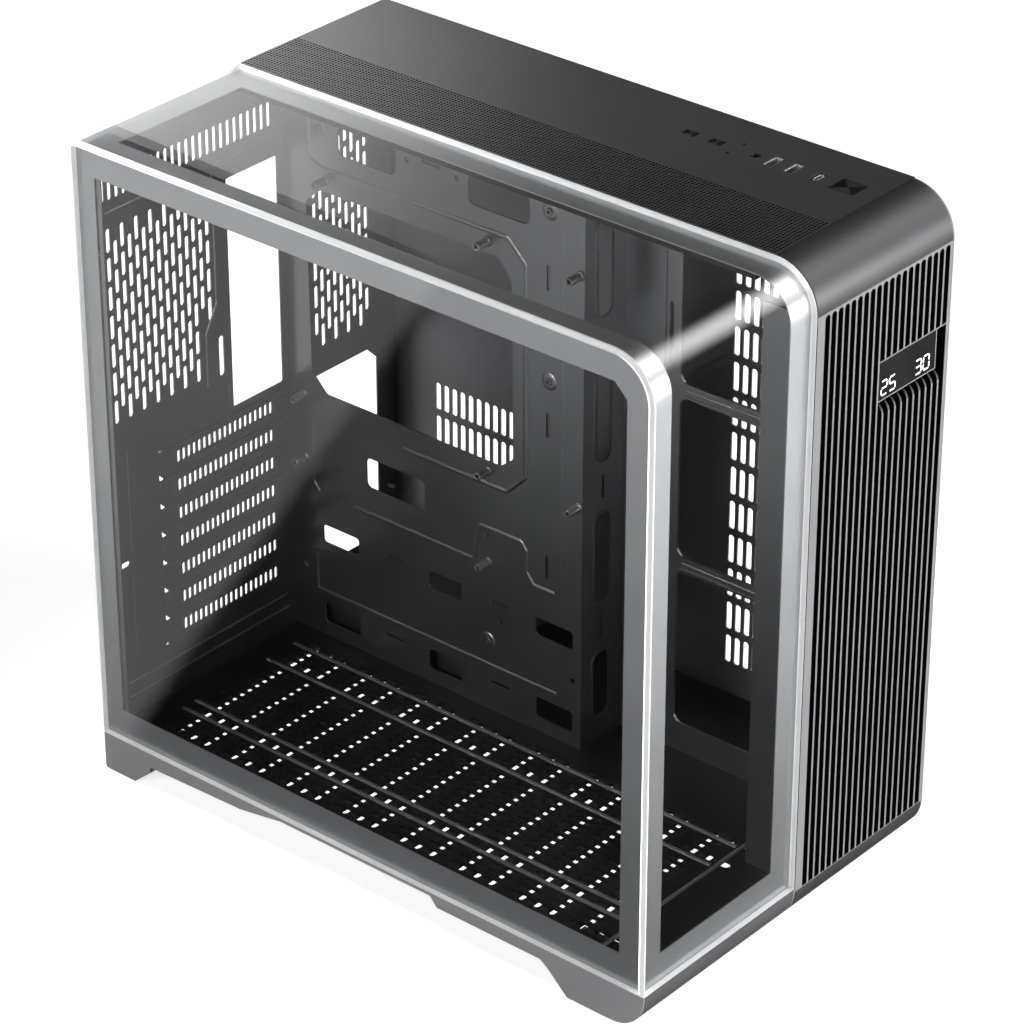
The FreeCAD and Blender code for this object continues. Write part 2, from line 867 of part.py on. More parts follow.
def standoffs():
    posts = []
    for y, z in board_places():
        posts.append(plate("x", tray_face - standoff_length, standoff_length,
                           even_sided(y, z, standoff_radius, 6), [circle(y, z, standoff_bore)]))
    return Part.makeCompound(posts)


# Tray openings as distance from the rear wall, length, height of the lower edge and height
# Those of the board are measured from its top row of fixings, those of the floor from the floor
opening_corner = 3.0
board_openings = ((46.5, 48.0, 20.6, 20.0), (152.0, 48.5, 20.6, 20.0), (65.0, 49.5, -206.0, 21.5),
                  (26.0, 30.5, -261.1, 13.0), (117.0, 28.5, -261.1, 13.0), (206.0, 30.0, -261.1, 13.0),
                  (79.5, 15.5, -251.6, 2.2), (168.5, 15.5, -251.6, 2.2), (212.2, 2.6, -17.5, 17.0),
                  (212.2, 2.6, -117.5, 17.0), (212.2, 2.6, -217.5, 17.0))
floor_openings = ((26.0, 30.5, 9.5, 14.0), (117.0, 29.0, 9.5, 14.0), (206.0, 30.0, 9.5, 14.0),
                  (79.5, 15.5, 20.5, 2.2), (168.5, 15.5, 20.5, 2.2))
cooler_window = (17.5, 187.0, -151.3, -7.2)
cooler_chamfer = 12.5
boss_places = ((30.0, 34.5), (215.5, 34.5), (215.5, -79.0))

# Pressed ribs of the tray as chains of points, measured as the openings are
board_ribs = (((21.0, 45.0), (21.0, 14.0), (28.0, 7.6), (182.0, 7.6), (197.5, -6.5), (197.5, -151.5),
               (182.0, -167.0), (97.0, -167.0)),
              ((24.0, -167.0), (18.5, -173.0), (18.5, -219.0), (24.0, -225.0)),
              ((53.5, -225.3), (155.0, -225.3), (160.0, -198.5), (194.0, -198.5), (198.0, -218.5),
               (204.0, -226.0), (221.0, -226.0)))
floor_ribs = (((19.7, 62.0), (19.7, 33.0), (223.0, 33.0)),)


def tray_openings():
    """Outlines of all openings of the tray; the ones wide enough have clipped corners."""
    holes = []
    for level, openings in ((board_top_row, board_openings), (floor_level, floor_openings)):
        for distance, length, low, height in openings:
            corner = min(opening_corner, length / 4, height / 4)
            holes.append(clipped(tray_y(distance + length), tray_y(distance),
                                 level + low, level + low + height, corner))
    near, far, low, high = cooler_window
    holes.append(clipped(tray_y(far), tray_y(near), board_top_row + low, board_top_row + high,
                         cooler_chamfer))
    return holes


def motherboard_tray():
    """Board wall with its openings, pressed ribs and round bosses."""
    main = plate("x", tray_face, steel, rectangle(tray_front, wall_inner, floor_level, roof_low),
                 tray_openings())
    ribs = []
    for level, chains in ((board_top_row, board_ribs), (floor_level, floor_ribs)):
        for chain in chains:
            outline = strip([(tray_y(d), level + h) for d, h in chain], rib_width)
            ribs.append(plate("x", tray_face - rib_height, rib_height, outline))
    bosses = []
    for d, h in boss_places:
        outline = even_sided(tray_y(d), board_top_row + h, boss_radius, boss_sides)
        bosses.append(plate("x", tray_face - boss_height, boss_height, outline))
    return fused([main] + ribs + bosses)


def step_slots():
    """Low and high end of each cable slot: three of one height under the roof, and a short one below."""
    tops = [roof_low - step_slot_below_roof - i * step_slot_pitch for i in range(step_slot_count)]
    slots = [(top - step_slot_height, top) for top in tops]
    bar = step_slot_pitch - step_slot_height
    return slots + [(floor_level + step_slot_above_floor, slots[-1][0] - bar)]


def cable_step():
    """Folded step from the tray's front edge to the fan bracket, with tall cable slots."""
    x0 = tray_face + steel
    near = tray_face + step_slot_inset
    slots = [clipped(near, near + step_slot_width, low, high, opening_corner) for low, high in step_slots()]
    wall = plate("y", tray_front, steel, rectangle(x0, step_face + steel, floor_level, roof_low), slots)
    lap = box(step_face, step_face + steel, tray_front - step_flange, tray_front, floor_level, roof_low)
    fold = box(x0, x0 + steel, tray_front + steel, tray_front + steel + step_fold, floor_level, roof_low)
    return fused([wall, lap, fold])


def side_fan_bracket():
    """Sheet with three square fan windows one above the other and a slotted post at its back edge."""
    x0 = step_face + steel
    y1 = tray_front - step_flange + bracket_lap
    y0 = front_wall_face + steel
    window_back = tray_front - step_flange - bracket_post
    window_front = y0 + fan_window_from_front
    low = floor_level + fan_window_above_floor
    high = roof_low - fan_window_below_roof
    post = window_back + bracket_post / 2
    holes = []
    for z0, z1 in even_runs(low, high, fan_window_count, fan_window_bar):
        holes.append(clipped(window_front, window_back, z0, z1, window_corner))
        z = z0 + post_slot_rise
        holes.append(rectangle(post - post_slot[0] / 2, post + post_slot[0] / 2, z, z + post_slot[1]))
    return plate("x", x0, steel, rectangle(y0, y1, floor_level, roof_low), holes)


fan_right = tray_face - fan_from_tray
fan_top = case_height - fan_top_drop


def staggered(right_edge, pitch, columns, rows, length, step):
    """Columns of upright slots below the fan's top edge, each second column lower by half a step."""
    slots = []
    for column in range(columns):
        x = right_edge - column * pitch
        shift = column % 2 * vent_step / 2
        for row in range(rows):
            z1 = fan_top - shift - row * step
            slots.append(rectangle(x - vent_width / 2, x + vent_width / 2, z1 - length, z1))
    return slots


def slot_z(index):
    return board_top_row - slot_below_board - index * slot_pitch


cover_right = tray_face - cover_from_tray
cover_left = cover_right - cover_length
slit_right = tray_face - slit_from_tray
thumb_x = chassis_right - thumb_tab / 2
thumb_places = [(thumb_x, floor_level + stud_from_end),
                (thumb_x, (floor_level + roof_low) / 2 + stud_from_end / 2),
                (thumb_x, roof_low - stud_from_end / 2)]
supply_right = chassis_right - supply_from_right
supply_left = supply_right - supply_opening[0]
supply_low = floor_level + supply_above_floor
supply_high = supply_low + supply_opening[1]


def rear_panel():
    """Rear wall: fan grille, top vents, connector and cover openings, supply opening, side fold."""
    fan_pitch = (fan_right - chassis_left - fan_from_side) / (fan_columns - 1)
    holes = staggered(fan_right, fan_pitch, fan_columns, fan_rows, vent_length, vent_step)
    bar = vent_step - vent_length
    chamber_step = (fan_top - vent_step / 2 - supply_high - chamber_above_supply + bar) / chamber_rows
    holes += staggered(chassis_right - chamber_from_right, chamber_pitch, chamber_columns, chamber_rows,
                       chamber_step - bar, chamber_step)
    vents_right = tray_face - top_vent_from_tray
    top_vent_pitch = (vents_right - chassis_left - top_vent_from_side) / (top_vent_count - 1)
    for index in range(top_vent_count):
        x = vents_right - index * top_vent_pitch
        z1 = case_height - top_vent_drop
        holes.append(rectangle(x - vent_width / 2, x + vent_width / 2, z1 - top_vent_length, z1))
    x1 = tray_face - connector_from_tray
    z1 = board_top_row + connector_rise
    holes.append(rectangle(x1 - connector_opening[0], x1, z1 - connector_opening[1], z1))
    slit_span = slit_count * slit_pitch
    for index in range(slot_count):
        z = slot_z(index)
        half = slit_height * 0.7
        holes.append(rectangle(slit_right - slit_span, slit_right, z - half, z + half))
    holes.append(rectangle(cover_left - tab_slot / 2, cover_left + tab_slot / 2 + steel,
                           slot_z(slot_count - 1) - cover_height / 2, slot_z(0) + cover_height / 2))
    c = supply_chamfer
    holes.append(polygon([(supply_left, supply_low + c), (supply_left + c, supply_low),
                          (supply_right, supply_low), (supply_right, supply_high - c),
                          (supply_right - c, supply_high), (supply_left, supply_high)]))
    m = supply_hole_margin
    for x in (supply_left - m, supply_right + m):
        for z in (supply_low + m, supply_high - m):
            holes.append(screw_hole(x, z, supply_hole))
    w, h = fan_slot
    for x in (tray_face - fan_slot_from_tray, chassis_left + fan_slot_from_side):
        for side in (-1, 1):
            z = case_height - fan_centre_drop + side * fan_hole_spacing / 2
            holes.append(rectangle(x - w / 2, x + w / 2, z - h / 2, z + h / 2))
    holes += [screw_hole(x, z, screw_radius + stud_clearance) for x, z in thumb_places]
    wall = plate("y", wall_inner, steel,
                 rectangle(chassis_left, chassis_right, floor_low, chassis_top), holes)
    fold = plate("x", chassis_left, steel,
                 rectangle(wall_inner - flange, wall_inner, floor_level + flange + panel_gap, chassis_top),
                 stud_holes(stud_places[2:]))
    return fused([wall, fold])


def expansion_cover(index):
    """Slotted cover inside the rear wall: a tab folded out through the long slot, a lug at its end."""
    z = slot_z(index)
    half = cover_height / 2
    slits = []
    for k in range(slit_count):
        x1 = slit_right - k * slit_pitch - (slit_pitch - slit_width) / 2
        slits.append(rectangle(x1 - slit_width, x1, z - slit_height / 2, z + slit_height / 2))
    lug = cover_height / 6
    outline = polygon([(cover_left, z - half), (cover_right, z - half), (cover_right, z - lug),
                       (cover_right + cover_lug, z - lug), (cover_right + cover_lug, z + lug),
                       (cover_right, z + lug), (cover_right, z + half), (cover_left, z + half)])
    face = plate("y", wall_inner - steel, steel, outline, slits)
    notch = screw_radius + panel_gap
    y_end = wall_inner + tab_reach
    tab = plate("x", cover_left, steel,
                polygon([(wall_inner, z - half + 1), (y_end, z - half + 1), (y_end, z - notch),
                         (y_end - 2 * notch, z - notch), (y_end - 2 * notch, z + notch), (y_end, z + notch),
                         (y_end, z + half - 1), (wall_inner, z + half - 1)]))
    return fused([face, tab])


screw_line = wall_inner + tab_reach - screw_radius - 2 * panel_gap


def slot_clamp():
    """Angle strip outside the rear wall that the cover tabs are screwed to."""
    z0 = slot_z(slot_count - 1) - cover_height / 2
    z1 = slot_z(0) + cover_height / 2
    x1 = cover_left
    h = screw_radius + panel_gap
    holes = [rectangle(screw_line - h, screw_line + h, slot_z(i) - h, slot_z(i) + h)
             for i in range(slot_count)]
    upright = plate("x", x1 - steel, steel, rectangle(wall_outer, wall_inner + tab_reach, z0, z1), holes)
    foot = box(x1 - clamp_width, x1 - steel, wall_outer, wall_outer + steel, z0, z1)
    return fused([upright, foot])


def slot_screws():
    x0 = cover_left + steel
    screws = []
    for index in range(slot_count):
        place = (screw_line, slot_z(index))
        head = plate("x", x0, screw_head_height, even_sided(*place, screw_head, 6))
        shank = plate("x", x0 - 2 * steel, 2 * steel, even_sided(*place, screw_radius, shank_sides))
        screws.append(fused([head, shank]))
    return Part.makeCompound(screws)


def right_panel():
    """Steel side panel: vent columns for the fans, a vent block further back, folded rim, screw tab."""
    x0 = right - steel
    rim = right - side_panel_depth
    y0 = lip_back + panel_gap
    z1 = chassis_top + panel_gap
    z0 = glass_bottom
    holes = []
    for column in range(side_vent_columns):
        y = front + side_vent_from_front + column * side_vent_pitch
        for low, high in even_runs(floor_level + side_vent_above_floor, roof_low - side_vent_below_roof,
                                   side_vent_rows, side_vent_bar):
            holes.append(rectangle(y, y + side_vent_width, low, high))
    for column in range(rear_vent_count):
        y = back - rear_vent_from_back - column * rear_vent_pitch
        for row in range(2):
            z = floor_level + rear_vent_above_floor + row * rear_vent_step
            holes.append(rectangle(y - rear_vent_width, y, z, z + rear_vent_length))
    skin = plate("x", x0, steel, rectangle(y0, back, z0, z1), holes)
    top_rim = box(rim, x0, y0, back - steel, z1 - steel, z1)
    bottom_rim = box(rim, x0, y0, back - steel, z0, z0 + steel)
    front_rim = box(rim, x0, y0, y0 + steel, z0 + steel, z1 - steel)
    tab_y = wall_outer + panel_gap
    tab_holes = [screw_hole(x, z, screw_radius + panel_gap) for x, z in thumb_places]
    tab = plate("y", tab_y, steel, rectangle(chassis_right - thumb_tab, x0, z0 + flange, z1 - flange),
                tab_holes)
    return fused([skin, top_rim, bottom_rim, front_rim, tab])


def panel_screws():
    y0 = wall_outer + panel_gap + steel
    screws = []
    for place in thumb_places:
        head = plate("y", y0, thumb_height, even_sided(*place, thumb_radius, thumb_sides))
        shank = plate("y", y0 - thumb_shank, thumb_shank, even_sided(*place, screw_radius, shank_sides))
        screws.append(fused([head, shank]))
    return Part.makeCompound(screws)


shelf_left = tray_face + shelf_from_tray
shelf_right = chassis_right - shelf_from_right
shelf_back = wall_inner - panel_gap
shelf_front = shelf_back - shelf_length
shelf_top = floor_level + shelf_height


def supply_shelf():
    """Folded shelf that carries the power supply above the floor."""
    deck = box(shelf_left, shelf_right, shelf_front, shelf_back, shelf_top - steel, shelf_top)
    legs = [box(x, x + steel, shelf_front, shelf_back, floor_level, shelf_top - steel)
            for x in (shelf_left, shelf_right - steel)]
    return fused([deck] + legs)


def supply_pads():
    pads = []
    for x in (shelf_left, shelf_right - shelf_pad):
        for y in (shelf_front, shelf_back - shelf_pad):
            pads.append(box(x, x + shelf_pad, y, y + shelf_pad, shelf_top, shelf_top + 2 * steel))
    return Part.makeCompound(pads)


def drive_bracket():
    """Folded bracket on the back of the tray that holds a drive on edge."""
    x0 = tray_face + steel
    x1 = x0 + drive_depth
    y0 = tray_front + drive_from_step
    y1 = y0 + drive_width
    z1 = roof_low - drive_below_top
    z0 = z1 - drive_height
    slot_start = (y0 + y1 - drive_slot[0]) / 2
    inset = drive_width / 4
    holes = [rectangle(slot_start, slot_start + drive_slot[0], z, z + drive_slot[1])
             for z in (z0 + inset, z1 - inset)]
    deck = plate("x", x1 - steel, steel, rectangle(y0, y1, z0, z1), holes)
    arms = [box(x0, x1 - steel, y0, y1, z, z + steel) for z in (z0, z1 - steel)]
    return fused([deck] + arms)


os.makedirs("parts", exist_ok=True)
rail = base_rail()
save("base_rail_left", rail)
save("base_rail_right", mirrored(rail))
for index in range(slot_count):
    save("expansion_cover_" + str(index + 1), expansion_cover(index))
for name in buttons:
    save(name, button(name))
for index, (offset, size) in enumerate(ports[:2]):
    save("wide_port_" + str(index + 1), port_shell(offset, size))
for make in (front_glass, front_glass_frame, side_glass, side_glass_frame, side_glass_studs, floor_pan,
             base_grille, foot_pads, front_lip, front_panel, display_housing, display_screen, top_panel,
             button_switches, control_carrier, control_board, oval_port, audio_jack, light_pipes, top_frame,
             front_wall, standoffs, motherboard_tray, cable_step, side_fan_bracket, rear_panel, slot_clamp,
             slot_screws, right_panel, panel_screws, supply_shelf, supply_pads, drive_bracket):
    save(make.__name__, make())
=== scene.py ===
import math
import bmesh
import bpy
import numpy as np
from mathutils import Matrix, Vector
from mathutils.geometry import delaunay_2d_cdt


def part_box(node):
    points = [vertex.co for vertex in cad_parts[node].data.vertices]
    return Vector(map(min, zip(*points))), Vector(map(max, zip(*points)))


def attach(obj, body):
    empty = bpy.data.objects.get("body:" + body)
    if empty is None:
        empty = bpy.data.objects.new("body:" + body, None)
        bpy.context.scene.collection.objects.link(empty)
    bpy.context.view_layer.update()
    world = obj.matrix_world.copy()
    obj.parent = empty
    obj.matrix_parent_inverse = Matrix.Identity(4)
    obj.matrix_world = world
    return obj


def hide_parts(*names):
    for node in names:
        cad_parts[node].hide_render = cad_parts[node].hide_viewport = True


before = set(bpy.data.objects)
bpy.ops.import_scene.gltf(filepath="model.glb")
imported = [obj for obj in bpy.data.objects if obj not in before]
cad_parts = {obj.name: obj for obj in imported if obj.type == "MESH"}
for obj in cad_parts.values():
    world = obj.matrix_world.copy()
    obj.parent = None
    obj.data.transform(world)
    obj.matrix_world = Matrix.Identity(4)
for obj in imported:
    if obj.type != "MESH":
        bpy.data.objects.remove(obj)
scene = bpy.context.scene
bpy.context.view_layer.update()

# Sizes are in millimetres; the frame is in metres
MM = 0.001


def corners(node):
    """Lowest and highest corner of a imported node, in millimetres."""
    low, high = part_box(node)
    return np.array(low) / MM, np.array(high) / MM


def middle_of(node):
    """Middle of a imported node's box, in millimetres."""
    low, high = corners(node)
    return (low + high) / 2


(left, front, glass_low), (split, back, top) = corners("front_glass")
(panel_left, _, rail_low), (right, lip_back, _) = corners("front_panel")
(chassis_left, _, floor_low), (chassis_right, wall_inner, _) = corners("floor_pan")
_, (_, wall_outer, chassis_top) = corners("rear_panel")
(_, tray_front, floor_top), (tray_back, _, roof_low) = corners("motherboard_tray")
steel = wall_outer - wall_inner
tray_face = tray_back - steel
bend = lip_back - front
glass = corners("side_glass")[1][0] - left
panel_gap = 0.3
rail_top = glass_low - panel_gap
chassis_front = front + glass + 1.1


# Shells: each is an array of points and a list of arrays of face corners

def stacked(*shells):
    """Several shells as one: the points in a row, the face numbers moved on by the points before them."""
    starts = np.cumsum([0] + [len(points) for points, _ in shells[:-1]])
    faces = [face + start for (_, group), start in zip(shells, starts) for face in group]
    return np.concatenate([points for points, _ in shells]), faces


def net(points, wrap_u=False, wrap_v=False):
    """Four-sided faces over a grid of points, closed round either way where asked."""
    number = np.arange(points.shape[0] * points.shape[1]).reshape(points.shape[:2])
    if wrap_u:
        number = np.concatenate([number, number[:1]])
    if wrap_v:
        number = np.concatenate([number, number[:, :1]], 1)
    quads = np.stack([number[:-1, :-1], number[1:, :-1], number[1:, 1:], number[:-1, 1:]], -1)
    return points.reshape(-1, 3), [quads.reshape(-1, 4)]


def unit(vectors):
    """Vectors divided by their own lengths."""
    return vectors / np.linalg.norm(vectors, axis=-1, keepdims=True)


def filleted(chain, radius, closed=True, steps=7):
    """Chain of points with round corners: each arc turns about the point that lies a radius from both sides."""
    c = np.asarray(chain, float)
    a = unit(np.roll(c, 1, 0) - c)
    b = unit(np.roll(c, -1, 0) - c)
    half = np.arccos(np.clip((a * b).sum(1), -1, 1)) / 2
    r = np.broadcast_to(np.asarray(radius, float), half.shape)
    reach = (r / np.tan(half))[:, None]
    middle = c + unit(a + b) * (r / np.sin(half))[:, None]
    turn = (math.pi - 2 * half)[:, None, None]
    s = np.linspace(0, 1, steps)[None, :, None]
    first = (c + a * reach - middle)[:, None]
    last = (c + b * reach - middle)[:, None]
    arcs = middle[:, None] + (np.sin((1 - s) * turn) * first + np.sin(s * turn) * last) / np.sin(turn)
    if closed:
        points = arcs.reshape(-1, c.shape[1])
    else:
        points = np.concatenate([c[:1], arcs[1:-1].reshape(-1, c.shape[1]), c[-1:]])
    step = np.linalg.norm(points - np.roll(points, 1, 0), axis=1)
    return points[(step > 1e-5) | (np.arange(len(points)) == 0)]


def rectangle(u0, u1, v0, v1):
    """Four corners between two places each way."""
    return [(u0, v0), (u1, v0), (u1, v1), (u0, v1)]


def rounded(u0, u1, v0, v1, radius, steps=5):
    """Upright rectangle with round corners; a radius of half its width gives a slot."""
    r = np.minimum(radius, min(u1 - u0, v1 - v0) / 2 * 0.995)
    return filleted(rectangle(u0, u1, v0, v1), r, steps=steps)


def slots(centres, width, height, steps=5):
    """Round-ended slots of one size about a list of centres."""
    one = rounded(-width / 2, width / 2, -height / 2, height / 2, min(width, height) / 2, steps)
    return list(one[None] + np.asarray(centres, float)[:, None])


def disc(u, v, radius, sides=14):
    """Even-sided outline about a centre."""
    t = np.arange(sides) * 2 * math.pi / sides
    return np.stack([u + radius * np.cos(t), v + radius * np.sin(t)], 1)


def rows(low, high, step):
    """Evenly spaced places from one end to the other."""
    return np.arange(low, high + step / 2, step)


def crossing(us, vs):
    """Every pair of two lists of places."""
    return np.stack(np.meshgrid(us, vs, indexing="ij"), -1).reshape(-1, 2)


def laid(flat, axis, level):
    """Points of a plane square to an axis, at a level of that axis."""
    return np.insert(flat, "xyz".index(axis), level, axis=1)


def inside(points, outline):
    """Even-odd test of points against one outline, all pairs at once."""
    a, b = outline[None], np.roll(outline, -1, 0)[None]
    p = points[:, None]
    spans = (a[..., 1] > p[..., 1]) != (b[..., 1] > p[..., 1])
    rise = np.where(spans, b[..., 1] - a[..., 1], 1.0)
    cut = a[..., 0] + (p[..., 1] - a[..., 1]) * (b[..., 0] - a[..., 0]) / rise
    return (spans & (p[..., 0] < cut)).sum(1) % 2 == 1


def pierced(axis, level, thickness, outline, holes=()):
    """Sheet square to an axis: one face is a triangulation that keeps the outline and the edges of its convex
    holes, the other repeats it a thickness away, and a wall joins each open edge to its copy."""
    loops = [np.asarray(loop, float) for loop in (outline, *holes)]
    sizes = [len(loop) for loop in loops]
    owner = np.repeat(np.arange(len(loops)), sizes)
    starts = np.repeat(np.cumsum([0] + sizes[:-1]), sizes)
    number = np.arange(len(owner))
    following = np.where(np.r_[owner[1:] != owner[:-1], True], starts, number + 1)
    flat = np.concatenate(loops)
    found = delaunay_2d_cdt([Vector(p) for p in flat], np.stack([number, following], 1).tolist(), [], 1, 1e-7)
    flat = np.array(found[0], float)[:, :2]
    triangles = np.array(found[2], int)
    group = owner[triangles]
    in_hole = (group == group[:, :1]).all(1) & (group[:, 0] > 0)
    kept = triangles[~in_hole & inside(flat[triangles].mean(1), loops[0])]
    count = len(flat)
    sides = np.concatenate([kept[:, [0, 1]], kept[:, [1, 2]], kept[:, [2, 0]]])
    a, b = sides[~np.isin(sides[:, 0] * count + sides[:, 1], sides[:, 1] * count + sides[:, 0])].T
    walls = np.stack([a, a + count, b + count, b], 1)
    points = np.concatenate([laid(flat, axis, level), laid(flat, axis, level + thickness)])
    return points, [kept[:, ::-1], kept + count, walls[:, ::-1]]


def plate(axis, level, thickness, u0, u1, v0, v1, holes=()):
    """Pierced sheet with a rectangle for its outline."""
    return pierced(axis, level, thickness, rectangle(u0, u1, v0, v1), holes)


def block(x0, x1, y0, y1, z0, z1):
    """Box between two corners."""
    return plate("z", z0, z1 - z0, x0, x1, y0, y1)


def carried(section, path, axis, closed=False):
    """Closed section carried along a flat path with mitred corners and flat ends; its two columns are the reach
    square to the path in its plane and the reach along the axis."""
    section, path, axis = (np.asarray(given, float) for given in (section, path, axis))
    along = unit(np.diff(path, axis=0, append=path[:1]))
    if closed:
        before, after = np.roll(along, 1, 0), along
    else:
        before, after = np.r_[along[:1], along[:-1]], np.r_[along[:-1], along[-2:-1]]
    normal = np.cross(axis, before)
    middle = unit(normal + np.cross(axis, after))
    middle /= (middle * normal).sum(1)[:, None]
    points = path[:, None] + section[None, :, :1] * middle[:, None] + section[None, :, 1:] * axis
    shell, faces = net(points, closed, True)
    if not closed:
        ring = np.arange(len(section))
        faces += [ring[None, ::-1], ring[None] + len(section) * (len(path) - 1)]
    return shell, faces


def turned(profile, axis, centre, sides=24, flutes=0, depth=0.0):
    """Profile of radius and height turned about a line along an axis; flutes cut the radius by a share of its size
    in even waves."""
    profile = np.asarray(profile, float)
    t = np.arange(sides) * 2 * math.pi / sides
    wave = 1 - depth * (0.5 + 0.5 * np.cos(flutes * t))
    radius = profile[None, :, 0] * wave[:, None]
    flat = np.stack([centre[0] + radius * np.cos(t)[:, None], centre[1] + radius * np.sin(t)[:, None]], -1)
    points = np.insert(flat.reshape(-1, 2), "xyz".index(axis), np.tile(profile[:, 1], sides), axis=1)
    return net(points.reshape(sides, len(profile), 3), True, False)


def bead(chain, plane, level, width, height, radius=1.0, direction=-1):
    """Pressed rib: half of an ellipse carried along a chain with round corners on a plane."""
    t = np.linspace(0, math.pi, 9)
    section = np.stack([width / 2 * np.cos(t), height * np.sin(t)], 1)
    axis = np.eye(3)["xyz".index(plane)] * direction
    path = laid(filleted(chain, radius, closed=False), plane, level)
    return carried(section, path, axis)


def flange(hole, axis, level, width, height):
    """Raised rim round a hole: a small rectangle carried round it, standing against the axis."""
    return carried(rectangle(0, width, 0, height), laid(hole, axis, level), -np.eye(3)["xyz".index(axis)], closed=True)


def piece(name, finish, *shells, body="case", nodes=(), crease=32.0, bevel=0.0):
    """Object from shells: its faces turned outwards, smooth up to a crease angle, riding on a body, in the place of
    the nodes that it stands for."""
    points, faces = stacked(*shells)
    mesh = bpy.data.meshes.new(name)
    mesh.from_pydata((points * MM).tolist(), [], [corner for group in faces for corner in group.tolist()])
    work = bmesh.new()
    work.from_mesh(mesh)
    bmesh.ops.remove_doubles(work, verts=work.verts, dist=1e-7)
    bmesh.ops.recalc_face_normals(work, faces=work.faces)
    work.to_mesh(mesh)
    work.free()
    mesh.shade_smooth()
    mesh.set_sharp_from_angle(angle=math.radians(crease))
    slot_name, material = finish
    mesh.materials.append(material)
    thing = bpy.data.objects.new(name, mesh)
    scene.collection.objects.link(thing)
    if bevel:
        edge = thing.modifiers.new("edge", "BEVEL")
        edge.width = bevel * MM
        edge.segments = 2
        edge.limit_method = "ANGLE"
        edge.angle_limit = math.radians(50)
    even = thing.modifiers.new("even", "WEIGHTED_NORMAL")
    even.weight = 100
    even.keep_sharp = True
    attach(thing, body)
    if nodes:
        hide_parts(*nodes)
    return thing


# Materials

def fill(tree, socket, feed):
    """Gives a socket a link from another node's socket, or a plain value."""
    if isinstance(feed, bpy.types.NodeSocket):
        tree.links.new(feed, socket)
    else:
        socket.default_value = feed


def dressed(tree, node, **values):
    """Node with its properties set and the sockets that are named filled."""
    for key, value in values.items():
        if hasattr(node, key):
            setattr(node, key, value)
        else:
            fill(tree, node.inputs[key.replace("_", " ")], value)
    return node


def node_of(tree, kind, *feeds, **values):
    """New shader node, dressed by the values, with feeds in its first sockets."""
    node = dressed(tree, tree.nodes.new(kind), **values)
    for socket, feed in zip(node.inputs, feeds):
        fill(tree, socket, feed)
    return node


def maths(tree, operation, *feeds):
    """Result of one sum on values or sockets."""
    return node_of(tree, "ShaderNodeMath", *feeds, operation=operation).outputs[0]


def span(tree, feed, first, last, low=0.0, high=1.0):
    """Value carried from one range over to another, and kept within it."""
    return node_of(tree, "ShaderNodeMapRange", feed, first, last, low, high).outputs[0]


def mixed(tree, share, one, other, kind="RGBA"):
    """Colour or value between two others, by a share."""
    a, b, result = {"RGBA": (6, 7, 2), "FLOAT": (2, 3, 0)}[kind]
    node = node_of(tree, "ShaderNodeMix", share, data_type=kind)
    fill(tree, node.inputs[a], one)
    fill(tree, node.inputs[b], other)
    return node.outputs[result]


def new_material(name):
    """Material with nodes: itself, its tree and its shader."""
    material = bpy.data.materials.new(name)
    material.use_nodes = True
    return material, material.node_tree, material.node_tree.nodes["Principled BSDF"]


def object_place(tree):
    """Place on the object itself."""
    return tree.nodes.new("ShaderNodeTexCoord").outputs["Object"]


def group_of(name, entries, exits):
    """New shader group with named sockets in and out: its tree, what it is given and what it puts out."""
    tree = bpy.data.node_groups.new(name, "ShaderNodeTree")
    for way, sockets in (("INPUT", entries), ("OUTPUT", exits)):
        for label, kind in sockets:
            tree.interface.new_socket(label, in_out=way, socket_type="NodeSocket" + kind)
    return tree, tree.nodes.new("NodeGroupInput").outputs, tree.nodes.new("NodeGroupOutput")


def coat_group():
    """Sprayed coat: two noises, a broad one that shades the colour and a fine one that gives the grain's height."""
    entries = (("Place", "Vector"), ("Broad Scale", "Float"), ("Grain Scale", "Float"))
    tree, given, result = group_of("sprayed_coat", entries, (("Shade", "Float"), ("Height", "Float")))
    broad, fine = (node_of(tree, "ShaderNodeTexNoise", Vector=given["Place"], Scale=given[label], Detail=detail,
                           Roughness=rough).outputs["Fac"]
                   for label, detail, rough in (("Broad Scale", 3.0, 0.55), ("Grain Scale", 2.0, 0.6)))
    dressed(tree, result, Shade=maths(tree, "MULTIPLY_ADD", fine, 0.35, broad), Height=fine)
    return tree


def painted_sheen_group():
    """Painted sheen of a turned face: the cosine of twice the angle round a centre, as a mask that is dark along Y and
    light along X.
    """
    tree, given, result = group_of("painted_turned_sheen", (("Place", "Vector"), ("Centre", "Vector")), (("Mask", "Float"),))
    offset = node_of(tree, "ShaderNodeVectorMath", given["Place"], given["Centre"], operation="SUBTRACT")
    parts = node_of(tree, "ShaderNodeSeparateXYZ", offset.outputs[0]).outputs
    twice = maths(tree, "MULTIPLY", maths(tree, "ARCTAN2", parts["Y"], parts["X"]), 2.0)
    dressed(tree, result, Mask=span(tree, maths(tree, "COSINE", twice), -0.35, 0.35))
    return tree


sprayed_coat = coat_group()
painted_turned_sheen = painted_sheen_group()


def tone(*levels):
    """Screen colour, its levels from 0 to 255, as linear light."""
    s = np.array(levels) / 255
    return (*np.where(s <= 0.04045, s / 12.92, ((s + 0.055) / 1.055) ** 2.4), 1.0)


def grey(level, blue=2):
    """Grey with a little more blue than the rest."""
    return tone(level, level, level + blue)


